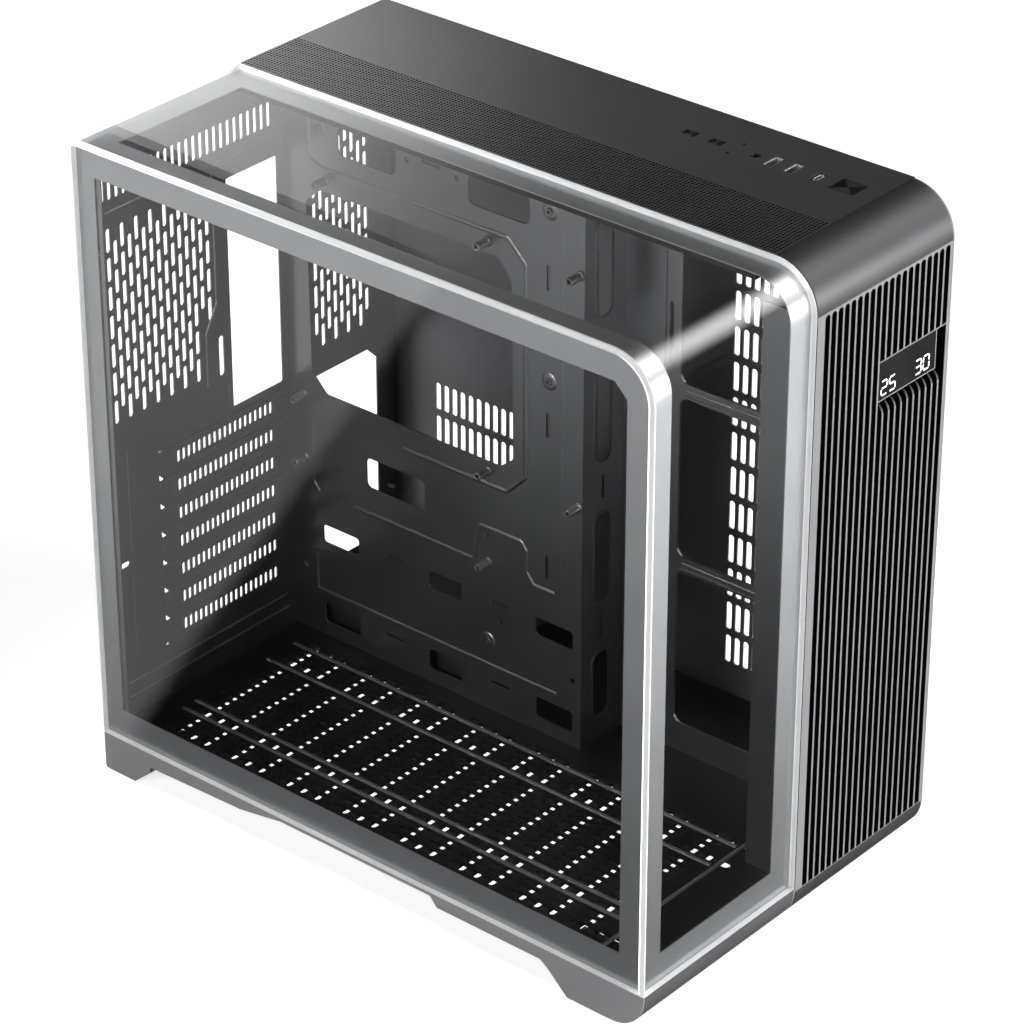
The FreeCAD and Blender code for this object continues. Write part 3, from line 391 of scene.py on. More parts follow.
def coated(name, dark, light, roughness, metallic=0.0, grain=900.0, broad=14.0, bump=0.12, spread=0.06, fade=None,
           sheen=None, glow=0.0):
    """Finish whose colour, roughness and relief follow the sprayed coat; a fade, which paints shade, turns it into
    another colour between two places along an axis, a sheen, a painted reflection, into another colour on two sides
    of a centre, and a glow lights it."""
    material, tree, shader = new_material("finish_" + name)
    place = object_place(tree)
    coat = node_of(tree, "ShaderNodeGroup", node_tree=sprayed_coat, Place=place, Broad_Scale=broad,
                   Grain_Scale=grain).outputs
    usual = (0.45, 0.95)
    color = mixed(tree, span(tree, coat["Shade"], *usual), dark, light)
    if fade:
        axis, first, last, other = fade
        parts = node_of(tree, "ShaderNodeSeparateXYZ", place)
        color = mixed(tree, span(tree, parts.outputs[axis], first * MM, last * MM), color, other)
    if sheen:
        centre, other = sheen
        spin = node_of(tree, "ShaderNodeGroup", node_tree=painted_turned_sheen, Place=place, Centre=[c * MM for c in centre])
        color = mixed(tree, spin.outputs["Mask"], color, other)
    relief = node_of(tree, "ShaderNodeBump", Strength=bump, Distance=0.2 * MM, Height=coat["Height"])
    rough = span(tree, coat["Shade"], *usual, roughness - spread, roughness + spread)
    dressed(tree, shader, Base_Color=color, Metallic=metallic, Roughness=rough, Normal=relief.outputs["Normal"])
    if glow:
        dressed(tree, shader, Emission_Color=light, Emission_Strength=glow)
    return name, material


def glass_finish():
    """Tinted pane with pale ground edges: the face attribute named edge turns the clear body into an opaque one, and
    shadow rays take a tinted clear path."""
    material, tree, shader = new_material("finish_tinted_glass")
    film = node_of(tree, "ShaderNodeTexNoise", Vector=object_place(tree), Scale=9.0, Detail=4.0).outputs["Fac"]
    dressed(tree, shader, Transmission_Weight=1.0, IOR=1.002, Coat_Weight=1.0, Coat_Roughness=0.0,
            Base_Color=(0.86, 0.87, 0.87, 1.0), Roughness=span(tree, film, 0.45, 0.75, 0.0, 0.008))
    ground = node_of(tree, "ShaderNodeBsdfPrincipled", Base_Color=(0.92, 0.93, 0.93, 1.0), Roughness=0.35)
    edge = node_of(tree, "ShaderNodeAttribute", attribute_name="edge").outputs["Fac"]
    pane_part = node_of(tree, "ShaderNodeMixShader", edge, shader.outputs[0], ground.outputs[0])
    through = node_of(tree, "ShaderNodeBsdfTransparent", (0.9, 0.905, 0.905, 1.0))
    shadow = tree.nodes.new("ShaderNodeLightPath").outputs["Is Shadow Ray"]
    choice = node_of(tree, "ShaderNodeMixShader", shadow, pane_part.outputs[0], through.outputs[0])
    dressed(tree, tree.nodes["Material Output"], Surface=choice.outputs[0])
    return "tinted_glass", material


def ground_edges(thing, across):
    """Marks the faces of a pane that are not square to its sheet: across is the sheet's own axis, or None for the
    bent pane, whose sheet has no face square to X and ends at the back and at the bottom."""
    mesh = thing.data
    normal = np.abs([face.normal for face in mesh.polygons])
    centre = np.array([face.center for face in mesh.polygons]) / MM
    if across is None:
        mask = (normal[:, 0] > 0.1) | (centre[:, 1] > back - 0.01) | (centre[:, 2] < glass_low + 0.01)
    else:
        mask = normal[:, "xyz".index(across)] < 0.9
    mesh.attributes.new("edge", "FLOAT", "FACE").data.foreach_set("value", mask.astype(np.float32))


def plain(level):
    """Colour with one level of linear light in all its channels."""
    return (level, level, level, 1.0)


painted_steel = coated("painted_steel", grey(142), grey(148), 0.3, metallic=0.97, bump=0.015, spread=0.015)
# A much darker copy of the painted steel for the floor pan: painted shade on the case's floor.
shaded_floor_steel = coated("painted_steel", grey(48), grey(56), 0.3, metallic=0.9, bump=0.015, spread=0.015)
outer_paint = coated("painted_steel", grey(130), grey(135), 0.36, metallic=0.8, grain=1400, bump=0.05, spread=0.006)
# A lighter, less metallic copy of the painted steel for the floor's pressed ribs: a painted highlight where their
# slopes catch the light.
lit_rib_steel = coated("painted_steel", grey(96), grey(106), 0.4, metallic=0.4)
# Near-black paint for the frame under the roof: painted shade, seen through the roof mesh's holes.
shade_under_roof = coated("painted_steel", grey(14, 1), grey(20, 1), 0.5)
# The mesh's hole walls turn near-black a little below its top face: painted shade inside the holes.
mesh_paint = coated("painted_steel", grey(132), grey(140), 0.34, metallic=0.8, grain=1400,
                    fade=("Z", top - 0.05, top - 0.25, plain(0.003)))
# The slats turn near-black a little behind their front faces: painted shade on their sides, in the gaps between them.
slat_plastic = coated("dark_plastic", grey(120), grey(128), 0.5, grain=1200,
                      fade=("Y", front + 0.05, front + 0.25, plain(0.002)))
edge_plastic = coated("dark_plastic", grey(112), grey(121), 0.45, grain=1200)
# A darker copy of the front plastic for the front panel's rolled top and bend: painted shade, since the front light
# falls on them less than on the slats.
shaded_shell_plastic = coated("dark_plastic", grey(60), grey(68), 0.42, metallic=0.2, grain=1200)
dark_plastic = coated("dark_plastic", grey(142), grey(151), 0.5, metallic=0.1, grain=1200)
# A near-black copy of the front plastic for the grille under the floor: painted shade beneath the case.
shaded_grille_plastic = coated("dark_plastic", grey(22, 1), grey(30, 1), 0.5, grain=1200)
lip_plastic = coated("dark_plastic", grey(76), grey(86), 0.5, metallic=0.1, grain=1200)
border = coated("glass_border", grey(164), grey(170), 0.34, metallic=0.86, grain=1600, bump=0.02, spread=0.01)
black_plastic = coated("black_plastic", grey(14, 1), grey(24, 1), 0.5)
key_plastic = coated("key_plastic", grey(44), grey(58), 0.3, metallic=0.6)
screen = coated("screen", grey(26, 1), grey(38, 1), 0.22, broad=26, bump=0.01)
post_steel = coated("bare_steel", grey(134), grey(146), 0.34, metallic=0.85, bump=0.01, spread=0.01)
# A pale, less metallic copy of the bare steel for the socket sleeves: a painted highlight on their rims.
highlit_socket_steel = coated("bare_steel", grey(226), grey(236), 0.3, metallic=0.4, bump=0.01)
bare_steel = coated("bare_steel", grey(168), grey(192), 0.34, metallic=0.9, bump=0.01)
circuit_board = coated("circuit_board", tone(22, 40, 30), tone(30, 54, 40), 0.5)
switch_plastic = coated("switch_plastic", grey(30), grey(44), 0.5)
light_pipe = coated("light_pipe", grey(16, 1), grey(28), 0.2)
foot_rubber = coated("foot_rubber", grey(20, 1), grey(32, 1), 0.75, bump=0.3)
tinted_glass = glass_finish()
digit_light = coated("screen", plain(1), plain(1), 0.5, grain=300, glow=1)
digit_light[1].name = "finish_digit_light"
finishes = dict([painted_steel, dark_plastic, border, black_plastic, key_plastic, screen, bare_steel, circuit_board,
                 switch_plastic, light_pipe, foot_rubber, tinted_glass])
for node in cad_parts.values():
    for index, own in enumerate(node.data.materials):
        node.data.materials[index] = finishes[own.name.split(".")[0]]


# Glass

pane = rounded(-glass / 2, glass / 2, left, split, 0.9)
bend_line = filleted([(back, top - glass / 2), (front + glass / 2, top - glass / 2), (front + glass / 2, glass_low)],
                     bend - glass / 2, closed=False, steps=33)
bent_sheet = carried(pane, laid(bend_line, "x", 0), (1, 0, 0))
ground_edges(piece("bent_glass", tinted_glass, bent_sheet, nodes=["front_glass"]), None)

(_, side_front, _), (_, _, side_top) = corners("side_glass")
side_corner = bend - (side_front - front)


def side_outline(y0, z1, corner):
    """Side pane: square at the back and bottom, one large round corner at the front of its top."""
    return filleted(rectangle(y0, back, glass_low, z1), [0, 0, 0, corner], steps=25)


side_sheet = pierced("x", left, glass, side_outline(side_front, side_top, side_corner))
ground_edges(piece("side_pane", tinted_glass, side_sheet, body="side_cover", nodes=["side_glass"]), "x")

# Borders behind the panes
clear, film = 0.05, 0.8
y0, y1, z0, z1, cut = -198, 206, 47, 418, 9
side_window = [(y0, z0), (y1, z0), (y1, z1), (y0 + cut, z1), (y0, z1 - cut)]
(_, frame_front, _), (frame_inner, _, frame_top) = corners("side_glass_frame")
border_face = left + glass + clear
border_outline = side_outline(frame_front, frame_top, side_corner - 1.4)
piece("side_border", border, pierced("x", border_face, frame_inner - border_face, border_outline, [side_window]),
      body="side_cover", nodes=["side_glass_frame"])

border_width = 19.5
flat_top = back - lip_back
arc = bend * math.pi / 2


def bent_border(shell):
    """Flat frame rolled over the bend: distance along the sheet becomes the top, the arc and the front, and the
    reach below the sheet stays square to it."""
    points, faces = shell
    turn = np.clip((points[:, 1] - flat_top) / bend, 0, math.pi / 2)
    down = np.clip(points[:, 1] - flat_top - arc, 0, None)
    reach = bend - glass - points[:, 2]
    y = np.where(points[:, 1] < flat_top, back - points[:, 1], lip_back - reach * np.sin(turn))
    z = top - bend + reach * np.cos(turn) - down
    return np.stack([points[:, 0], y, z], 1), faces


def two_sided(x0, x1, inset):
    """Outline of the unrolled sheet, its ends drawn in by an inset, with matching points on both long sides."""
    along = np.r_[inset, flat_top + np.linspace(0, arc, 25), flat_top + arc + top - bend - glass_low - inset]
    return np.concatenate([np.stack([np.full(len(along), x0), along], 1),
                           np.stack([np.full(len(along), x1), along[::-1]], 1)])


sheet_outline = two_sided(chassis_left, split - panel_gap, panel_gap)
sheet_window = two_sided(left + border_width, split - border_width, border_width)
piece("bent_border", border, bent_border(pierced("z", clear, film - clear, sheet_outline, [sheet_window])),
      nodes=["front_glass_frame"])


# Front panel

slat_pitch, slat_gap, slat_depth = 6.095, 4.55, 8
gaps = 15.65 + slat_pitch * np.arange(20)
slat_low, slat_high = 25.5, 409.5
display_first = 9
display_low, display_high = 322, 358
wall, lip_radius = 2.5, 24.2
border_left = right - wall
lip_top = rail_low + lip_radius
half_gap = slat_gap / 2


def gap_outline(x, low):
    """Slot between two slats: square at the bottom, round at the top."""
    return filleted(rectangle(x - half_gap, x + half_gap, low, slat_high), [0, 0, half_gap * 0.99, half_gap * 0.99])


gap_holes = [gap_outline(x, slat_low) for x in gaps[:display_first]]
gap_holes += [gap_outline(x, display_high + 0.8) for x in gaps[display_first:]]
gap_holes.append(rectangle(gaps[display_first] - half_gap, gaps[-1] + half_gap, slat_low, display_high))
slat_outline = filleted([(front, slat_low), (front, display_low + slat_depth),
                         (front + slat_depth, display_low + slat_depth), (front + slat_depth, slat_low)],
                        [0, slat_depth * 0.98, 0, 0], steps=13)
short_slats = [pierced("x", x + half_gap, slat_pitch - slat_gap, slat_outline) for x in gaps[display_first:-1]]


def silhouette(depth):
    """Front panel seen from the side, a depth inside its outer face: roof, bend, face and rounded lip."""
    return filleted([(lip_back, top - depth), (front + depth, top - depth), (front + depth, rail_low + depth),
                     (lip_back, rail_low + depth)], [1, bend - depth, lip_radius - depth, 1], False, 25)


def roll(part, depth, x0, x1):
    """Wall of even depth that follows part of the panel's silhouette between two places across the case."""
    return carried([(0, x0), (0, x1), (depth, x1), (depth, x0)], laid(part, "x", 0), (1, 0, 0))


outer_line = silhouette(0)
upper = outer_line[outer_line[:, 1] >= top - bend - 1e-6]
lower = outer_line[outer_line[:, 1] <= lip_top + 1e-6]
edge_section = filleted([(0, border_left), (0, right), (slat_depth, right), (slat_depth, border_left)], [0, 1.8, 0, 0])
side_flange = pierced("x", border_left, wall, silhouette(slat_depth)[1:-1])
piece("slatted_front", slat_plastic,
      plate("y", front, slat_depth, panel_left, border_left, lip_top, top - bend, gap_holes), *short_slats,
      nodes=["front_panel"])
piece("front_shell", shaded_shell_plastic, *[roll(part, wall, panel_left, border_left) for part in (upper, lower)],
      side_flange)
piece("front_edge", edge_plastic, carried(edge_section, laid(outer_line, "x", 0), (1, 0, 0)))

# Display
(screen_left, screen_face, screen_low), (screen_right, screen_back, screen_high) = corners("display_screen")
rim = 0.6
piece("screen_plate", screen,
      block(screen_left, screen_right - rim, screen_face + 0.2, screen_back, screen_low + rim, screen_high),
      nodes=["display_screen"])
piece("screen_rim", dark_plastic,
      block(screen_left, screen_right, screen_face, screen_back, screen_low, screen_low + rim),
      block(screen_right - rim, screen_right, screen_face, screen_back, screen_low + rim, screen_high))

digit_size, stroke, digit_base = np.array([5.6, 9]), 0.95, 335.6
segment_lines = {"a": ((0, 1), (1, 1)), "b": ((1, 1), (1, 0.5)), "c": ((1, 0.5), (1, 0)), "d": ((0, 0), (1, 0)),
                 "e": ((0, 0.5), (0, 0)), "f": ((0, 1), (0, 0.5)), "g": ((0, 0.5), (1, 0.5))}
digit_places = (("abged", 71.6), ("afgcd", 79.5), ("abgcd", 105.2), ("abcdef", 113))


def segment(x, line):
    """Bar of a digit: a long hexagon between two ends of the digit's grid, lifted a little off the screen."""
    start, end = (np.array(p) * digit_size + (x, digit_base) for p in line)
    along = unit(end - start)
    across = np.array([-along[1], along[0]]) * stroke / 2
    start, end = start + along * 0.35, end - along * 0.35
    tip = along * stroke / 2
    outline = np.array([start, start + tip + across, end - tip + across, end, end - tip - across, start + tip - across])
    return pierced("y", screen_face + 0.08, 0.1, outline)


piece("display_digits", digit_light, *[segment(x, segment_lines[bar]) for bars, x in digit_places for bar in bars])


# Top panel

skin_low = top - 1.2 * steel
mesh_left, mesh_pitch, mesh_hole, mesh_columns = 7.2, 2.5, 1, 20
seam = lip_back + panel_gap
mesh_right = mesh_left + mesh_columns * mesh_pitch
mesh_rows = int((back - seam - 2) / mesh_pitch)
mesh_front = (seam + back - mesh_rows * mesh_pitch) / 2


def mesh_strip():
    """Square cells side by side, each a ring of eight faces between its edge and a round hole, with the hole's wall
    and the same ring below."""
    t = np.arange(8) * math.pi / 4
    square = np.array([(1, 0), (1, 1), (0, 1), (-1, 1), (-1, 0), (-1, -1), (0, -1), (1, -1)]) * mesh_pitch / 2
    hole = np.stack([np.cos(t), np.sin(t)], 1) * mesh_hole
    rings = np.stack([laid(ring, "z", z) for ring, z in ((square, top), (hole, top), (hole, skin_low),
                                                         (square, skin_low))])
    centres = crossing(mesh_left + mesh_pitch * (np.arange(mesh_columns) + 0.5),
                       mesh_front + mesh_pitch * (np.arange(mesh_rows) + 0.5))
    cell, faces = net(rings, False, True)
    points = cell[None] + np.insert(centres, 2, 0, axis=1)[:, None]
    quads = faces[0][None] + (np.arange(len(centres)) * len(cell))[:, None, None]
    return points.reshape(-1, 3), [quads.reshape(-1, 4)]


control_line = middle_of("power_button")[0]
control_gap = 0.35
keys = {"power": (15.4, 17), "reset": (6.6, 9.2), "light": (6.6, 9.2)}


def key_outline(key, inset, radius):
    """Outline of a key cap about its own place on the line of controls, drawn in by an inset."""
    half_width, half_length = np.array(keys[key]) / 2 - inset
    y = middle_of(key + "_button")[1]
    return rounded(control_line - half_width, control_line + half_width, y - half_length, y + half_length, radius)


def footprint(node, inset, radius):
    """Rounded outline of a node seen from above, drawn in by an inset."""
    low, high = corners(node)
    return rounded(low[0] + inset, high[0] - inset, low[1] + inset, high[1] - inset, radius)


control_holes = [key_outline(key, -control_gap, 0.8) for key in keys]
control_holes += [footprint(port, -0.25, 0.9) for port in ("wide_port_1", "wide_port_2", "oval_port")]
jack = middle_of("audio_jack")
control_holes.append(disc(jack[0], jack[1], 3.3, 28))
pipe_low, pipe_high = corners("light_pipes")
for x in (pipe_low[0] + 0.9, pipe_high[0] - 0.9):
    control_holes.append(disc(x, middle_of("light_pipes")[1], 1.2, 16))

(_, panel_y0, panel_z0), (_, _, panel_z1) = corners("right_panel")
mesh_back = mesh_front + mesh_rows * mesh_pitch
piece("roof_panel", outer_paint, plate("z", skin_low, top - skin_low, mesh_right, right, seam, back, control_holes),
      block(panel_left, mesh_left, seam, back, skin_low, top),
      block(mesh_left, mesh_right, seam, mesh_front, skin_low, top),
      block(mesh_left, mesh_right, mesh_back, back, skin_low, top),
      block(right - steel, right, seam, back, panel_z1 + panel_gap, skin_low),
      block(panel_left, chassis_right, back - steel, back, roof_low, skin_low), nodes=["top_panel"])
piece("roof_mesh", mesh_paint, mesh_strip())
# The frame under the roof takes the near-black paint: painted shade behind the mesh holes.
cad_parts["top_frame"].data.materials[0] = shade_under_roof[1]


def crowned_key(key):
    """Key cap: rounded outlines stacked from its foot to a slightly sunken top."""
    (_, _, foot), (_, _, crown) = corners(key + "_button")
    levels = ((0, foot), (0, crown - 0.5), (0.12, crown - 0.15), (0.45, crown),
              (keys[key][0] / 2 - 0.6, crown - 0.35))
    rings = np.stack([laid(key_outline(key, inset, 0.7), "z", z) for inset, z in levels])
    points, faces = net(rings, False, True)
    ring = np.arange(rings.shape[1])
    return points, faces + [ring[None], ring[None] + rings.shape[1] * (len(levels) - 1)]


for key in keys:
    # Each key turns lighter on two sides of its middle: a painted sheen that stands for the reflection on its spun
    # face.
    key_with_painted_sheen = coated("key_plastic", grey(20, 1), grey(34, 1), 0.3, metallic=0.7,
                        sheen=((control_line, middle_of(key + "_button")[1], 0), grey(104)))
    piece(key + "_button_cap", key_with_painted_sheen, crowned_key(key), body=key + "_key", nodes=[key + "_button"], crease=20)


def oval_outline(half_length, half_width):
    """Round-ended outline about the oval socket's middle."""
    return rounded(oval_x - half_length, oval_x + half_length, oval_y - half_width, oval_y + half_width, half_width, 9)


tongues = []
port_wall, port_base = 0.6, 2
for port in ("wide_port_1", "wide_port_2"):
    low, high = corners(port)
    outline = footprint(port, 0, 0.7)
    piece(port + "_sleeve", highlit_socket_steel, pierced("z", low[2] + port_base, high[2] - low[2] - port_base, outline,
                                                  [footprint(port, port_wall, 0.2)]),
          pierced("z", low[2], port_base, outline), nodes=[port], bevel=0.2)
    tongues.append(block(low[0] + 1.2, high[0] - 1.2, low[1] + 0.8, low[1] + 2.6, low[2] + 2, high[2] - 1.2))
low, high = corners("oval_port")
oval_x, oval_y, _ = middle_of("oval_port")
oval = oval_outline(4.6, 1.75)
piece("oval_sleeve", highlit_socket_steel, pierced("z", low[2], high[2] - low[2], oval, [oval_outline(3.9, 1.05)]),
      bevel=0.15)
piece("oval_surround", black_plastic,
      pierced("z", low[2], high[2] - low[2] - 0.6, footprint("oval_port", 0, 0.7), [oval]), nodes=["oval_port"])
tongues.append(block(oval_x - 3, oval_x + 3, oval_y - 0.35, oval_y + 0.35, low[2], high[2] - 0.8))
piece("socket_tongues", black_plastic, *tongues)
(_, _, jack_low), (_, _, jack_top) = corners("audio_jack")
collar = [(1.75, jack_low), (1.75, jack_top - 0.5), (2.1, jack_top), (2.7, jack_top), (3, jack_top - 0.3),
          (3, jack_low), (1.75, jack_low)]
piece("jack_collar", black_plastic, turned(collar, "z", jack[:2], 28), nodes=["audio_jack"])


# Base

foot_low, foot_front, foot_back, rail_middle = 0.8, -148, 179.5, 25
rail_points = [(back, rail_top), (back, foot_low), (194, foot_low), (180, 12.6), (foot_back, 17.2), (171, 17.2),
               (101, 19.4), (82.7, 22.3), (67, rail_middle), (-55.6, rail_middle), (-61, 18.8), (-142, 18.8),
               (foot_front, 14.4), (-162.5, foot_low), (lip_back, foot_low), (lip_back, rail_top)]
rail_rounds = [0, 2, 1.5, 1.5, 1, 2, 4, 4, 4, 1.5, 1.5, 3, 3, 1, 0, 0]
rear_foot = rail_points[:5] + [(foot_back, rail_top)]
front_foot = [(foot_front, rail_top)] + rail_points[12:]
foot_width, rail_skin, ledge = 34, 4, 8
skin_end, ledge_end = left + rail_skin, left + rail_skin + ledge
rail, rail_faces = stacked(
    pierced("x", left, rail_skin, filleted(rail_points, rail_rounds, steps=5)),
    *[pierced("x", skin_end, foot_width - rail_skin, foot) for foot in (rear_foot, front_foot)],
    block(skin_end, ledge_end, foot_front, foot_back, rail_middle, rail_top),
    block(chassis_left, ledge_end, lip_back, wall_inner, rail_top, floor_low))
for mirror, node in ((1, "base_rail_left"), (-1, "base_rail_right")):
    piece(node + "_skirt", dark_plastic, (rail * (mirror, 1, 1), rail_faces), nodes=[node])
lip_line = filleted([(front, rail_top), (front, rail_low), (lip_back, rail_low)], lip_radius, False, 21)
lip_end = np.r_[lip_line, [(lip_back, rail_top)]]
cheek = 0.8
piece("front_glass_lip", lip_plastic, roll(lip_line, 3, left + cheek, split - cheek), nodes=["front_lip"])
piece("lip_cheeks", dark_plastic, *[pierced("x", x, cheek, lip_end) for x in (left, split - cheek)])
pad = [(0, 0), (6.9, 0), (7.6, 0.25), (8, 0.8), (8, 2.8), (0, 2.8)]
pad_x = left + foot_width / 2
piece("rubber_pads", foot_rubber, *[turned(pad, "z", (x, y), 40) for x in (-pad_x, pad_x) for y in (207.5, -176)],
      nodes=["foot_pads"])


# Floor

field_back, field_front, corner_front = 190, -166, -206
wide_pitch, narrow_pitch, upstand = 47.4, 23.7, 12
wide_lanes = (-111, -86, -6, 18)
narrow_lanes = np.r_[-102.5, -95.5, -75.5 + 7 * np.arange(9), 1.5, 8.5]
floor_holes = slots(crossing(wide_lanes, field_back - 19 - wide_pitch * np.arange(8)), 5.5, 38)
floor_holes += slots(crossing(narrow_lanes, field_back - 9.5 - narrow_pitch * np.arange(15)), 3.5, 19)
floor_outline = [(chassis_left, wall_inner), (chassis_right, wall_inner), (chassis_right, corner_front),
                 (split, corner_front), (split, chassis_front), (chassis_left, chassis_front)]
fold_top = floor_top + upstand
piece("slotted_floor", shaded_floor_steel, pierced("z", floor_low, steel, floor_outline, floor_holes),
      block(chassis_left, chassis_left + steel, chassis_front, wall_inner, floor_top, fold_top),
      block(chassis_left + steel, split - 3 * steel, chassis_front, chassis_front + steel, floor_top, fold_top),
      block(chassis_right - steel, chassis_right, -205, wall_inner, floor_top, fold_top), nodes=["floor_pan"])
floor_ribs = [bead([(x, field_back + 6), (x, field_front - 4)], "z", floor_top, 3.2, 0.9, direction=1)
              for x in (-79, -12.4, 13.4, -90.5)]
floor_ribs.append(bead([(chassis_left + 6, -173), (20, -173)], "z", floor_top, 3, 0.8, direction=1))
piece("floor_ribs", lit_rib_steel, *floor_ribs)
low, high = corners("base_grille")
slit_rows = [(middle_of("base_grille")[0], y) for y in rows(low[1] + 9, high[1] - 6, 11.85)]
piece("under_grille", shaded_grille_plastic, pierced("z", low[2], high[2] - low[2], footprint("base_grille", 0, 4),
                                              slots(slit_rows, high[0] - low[0] - 8, 5)), nodes=["base_grille"])


# Rear wall

vent_pitch = 6
fan_step, fan_slot = 19.4, (3.5, 16)
fan_high, fan_low = 376, 243


def grille(columns, low, high):
    """Upright slots in columns, each second column lower by half a step; slots that would pass the ends are
    left out."""
    number = np.arange(len(columns))
    count = int((high - low) / fan_step) + 2
    z = high - fan_slot[1] / 2 - fan_step * np.arange(count)[None] - (number % 2 * fan_step / 2)[:, None] + fan_step / 2
    places = np.stack([np.broadcast_to(columns[:, None], z.shape), z], -1).reshape(-1, 2)
    fits = (places[:, 1] + fan_slot[1] / 2 <= high + 0.1) & (places[:, 1] - fan_slot[1] / 2 >= low - 0.1)
    return places[fits]


fan_places = grille(rows(-124, -34, vent_pitch), fan_low, fan_high)
fan_places = fan_places[(fan_places[:, 0] < -45) | (fan_places[:, 1] > 284)]
rear_holes = slots(fan_places, *fan_slot)
rear_holes += slots(grille(rows(62, 110, vent_pitch), 219, fan_high), *fan_slot)
rear_holes += slots([(x, 402.5) for x in rows(-121, 23, vent_pitch)], 3, 17)
rear_holes += slots([(-25.5, 254), (-25.5, 359), (-130, 143)], 4.4, 28)
rear_holes.append(rounded(-16.5, 29, 214, 372.6, 1.5))
slot_z = 200.4 - 20.32 * np.arange(7)
rear_holes += [rounded(-77.5, 24, z - 7.5, z + 7.5, 1) for z in slot_z]
rear_holes.append(rounded(-86.3, -81, 69, 209.8, 1))
rear_holes += slots([(-118, 143)], 8, 4)
# Power supply opening and its screw holes
x0, x1, z0, z1, cut = 53, 118.2, 62, 205, 9
rear_holes.append([(x0, z0 + cut), (x0 + cut, z0), (x1, z0), (x1, z1 - cut), (x1 - cut, z1), (x0, z1)])
rear_holes += [disc(x, z, 2) for x in (x0 - 5, x1 + 5) for z in (z0 + 5, z1 - 5)]
thumb_x = middle_of("panel_screws")[0]
thumb_z = (96, 264, 400)
rear_holes += [disc(thumb_x, z, 2.1) for z in thumb_z]
rear_holes = [hole for hole in rear_holes if np.min(np.asarray(hole)[:, 0]) > chassis_left + 2]
rear_chains = (([(-28, 380), (-28, 292), (-38, 274), (-38, 237)], 3, 0.7),
               ([(-19.5, 232), (-19.5, 218)], 2.6, 0.7), ([(-111, 223), (-111, 150)], 3, 0.7),
               ([(-111, 136), (-111, 72)], 3, 0.7), ([(-120, 56), (28, 56)], 3, 0.7),
               ([(-120, 46), (28, 46)], 3, 0.7), ([(-120, 386), (25, 386)], 2.6, 0.6))
side_fold = plate("x", chassis_left, steel, wall_inner - upstand, wall_inner, fold_top + panel_gap, chassis_top,
                  [disc(wall_inner - upstand / 2, z, 2.8, 16) for z in (96, 368)])
piece("vented_rear", painted_steel,
      plate("y", wall_inner, steel, chassis_left, chassis_right, floor_low, chassis_top, rear_holes), side_fold,
      *[bead(chain, "y", wall_inner, width, height, 4) for chain, width, height in rear_chains],
      nodes=["rear_panel"])

slit_x = 15.7 - 4.65 * np.arange(19)
cover_face = wall_inner - steel
for index, z in enumerate(slot_z):
    node = f"expansion_cover_{index + 1}"
    (x0, _, _), (x1, y1, _) = corners(node)
    face = filleted([(x0, z - 9.2), (x1 - 3, z - 9.2), (x1 - 3, z - 3), (x1, z - 3), (x1, z + 3), (x1 - 3, z + 3),
                     (x1 - 3, z + 9.2), (x0, z + 9.2)], [0.8, 1.5, 0.5, 1, 1, 0.5, 1.5, 0.8])
    tab = pierced("x", x0, steel, [(wall_inner, z - 8.2), (y1, z - 8.2), (y1, z - 1.8), (y1 - 3.6, z - 1.8),
                                   (y1 - 3.6, z + 1.8), (y1, z + 1.8), (y1, z + 8.2), (wall_inner, z + 8.2)])
    piece(f"slot_cover_{index + 1}", painted_steel,
          pierced("y", cover_face, steel, face, slots([(x, z) for x in slit_x], 2.6, 8.5)), tab,
          flange(rounded(-73.5, 20, z - 6.6, z + 6.6, 1.5), "y", cover_face, 1, 0.6), nodes=[node])
head = [(0, 0.5), (1, 0.5), (1, 2.4), (2, 2.2), (2, 0.4), (1.8, 0), (1.5, 0), (1.5, -2), (0, -2)]
screw_y = middle_of("slot_screws")[1]
screw_x = corners("slot_screws")[0][0] + 2 * steel
piece("cover_screws", bare_steel, *[turned(np.array(head) + (0, screw_x), "x", (screw_y, z), 18) for z in slot_z],
      nodes=["slot_screws"])
thumb = [(0, 2.9), (1.4, 2.9), (1.4, 3.4), (3.9, 3.6), (4.5, 3), (4.5, 0.5), (4.1, 0), (1.5, 0), (1.5, -8),
         (0, -8)]
thumb_y = corners("panel_screws")[1][1] - 3.6
piece("thumb_screws", bare_steel,
      *[turned(np.array(thumb) + (0, thumb_y), "y", (thumb_x, z), 60, 20, 0.07) for z in thumb_z], body="right_cover",
      nodes=["panel_screws"])


# Board tray and step

board_fixings = [(178.91, 363.56), (46.83, 363.56), (-25.56, 363.56), (201.77, 206.08), (46.83, 206.08),
                 (-25.56, 206.08), (201.77, 160.36), (46.83, 140.6)]
cooler_window = [(196, 345), (183.6, 355.5), (38.5, 356), (27.4, 343), (26.6, 221), (37.2, 212.5),
                 (182.4, 212.5), (194.6, 225)]
tray_holes = [rounded(120, 168, 384, 404, 5), rounded(13.5, 62, 384, 404, 5),
              filleted(cooler_window, 4), rounded(99.5, 149, 157.5, 179, 4)]
for y0, y1 in ((157, 188), (69, 97), (-22, 8)):
    tray_holes += [rounded(y0, y1, 102.5, 115.5, 2.5), rounded(y0, y1, 42, 57, 2.5)]
tray_holes += slots([(126.7, 112.5), (126.7, 53), (38, 112.5), (38, 53), (91.5, 401)], 15.5, 2.4)
tray_holes += slots([(-1, 354.5), (-1, 254.5), (-1, 154.5)], 2.6, 17)
tray_holes += [disc(y, z, 2) for y, z in ((110.8, 398), (70.7, 398), (37.7, 100.6), (203.8, 80), (-22, 80),
                                            (48, 159))]
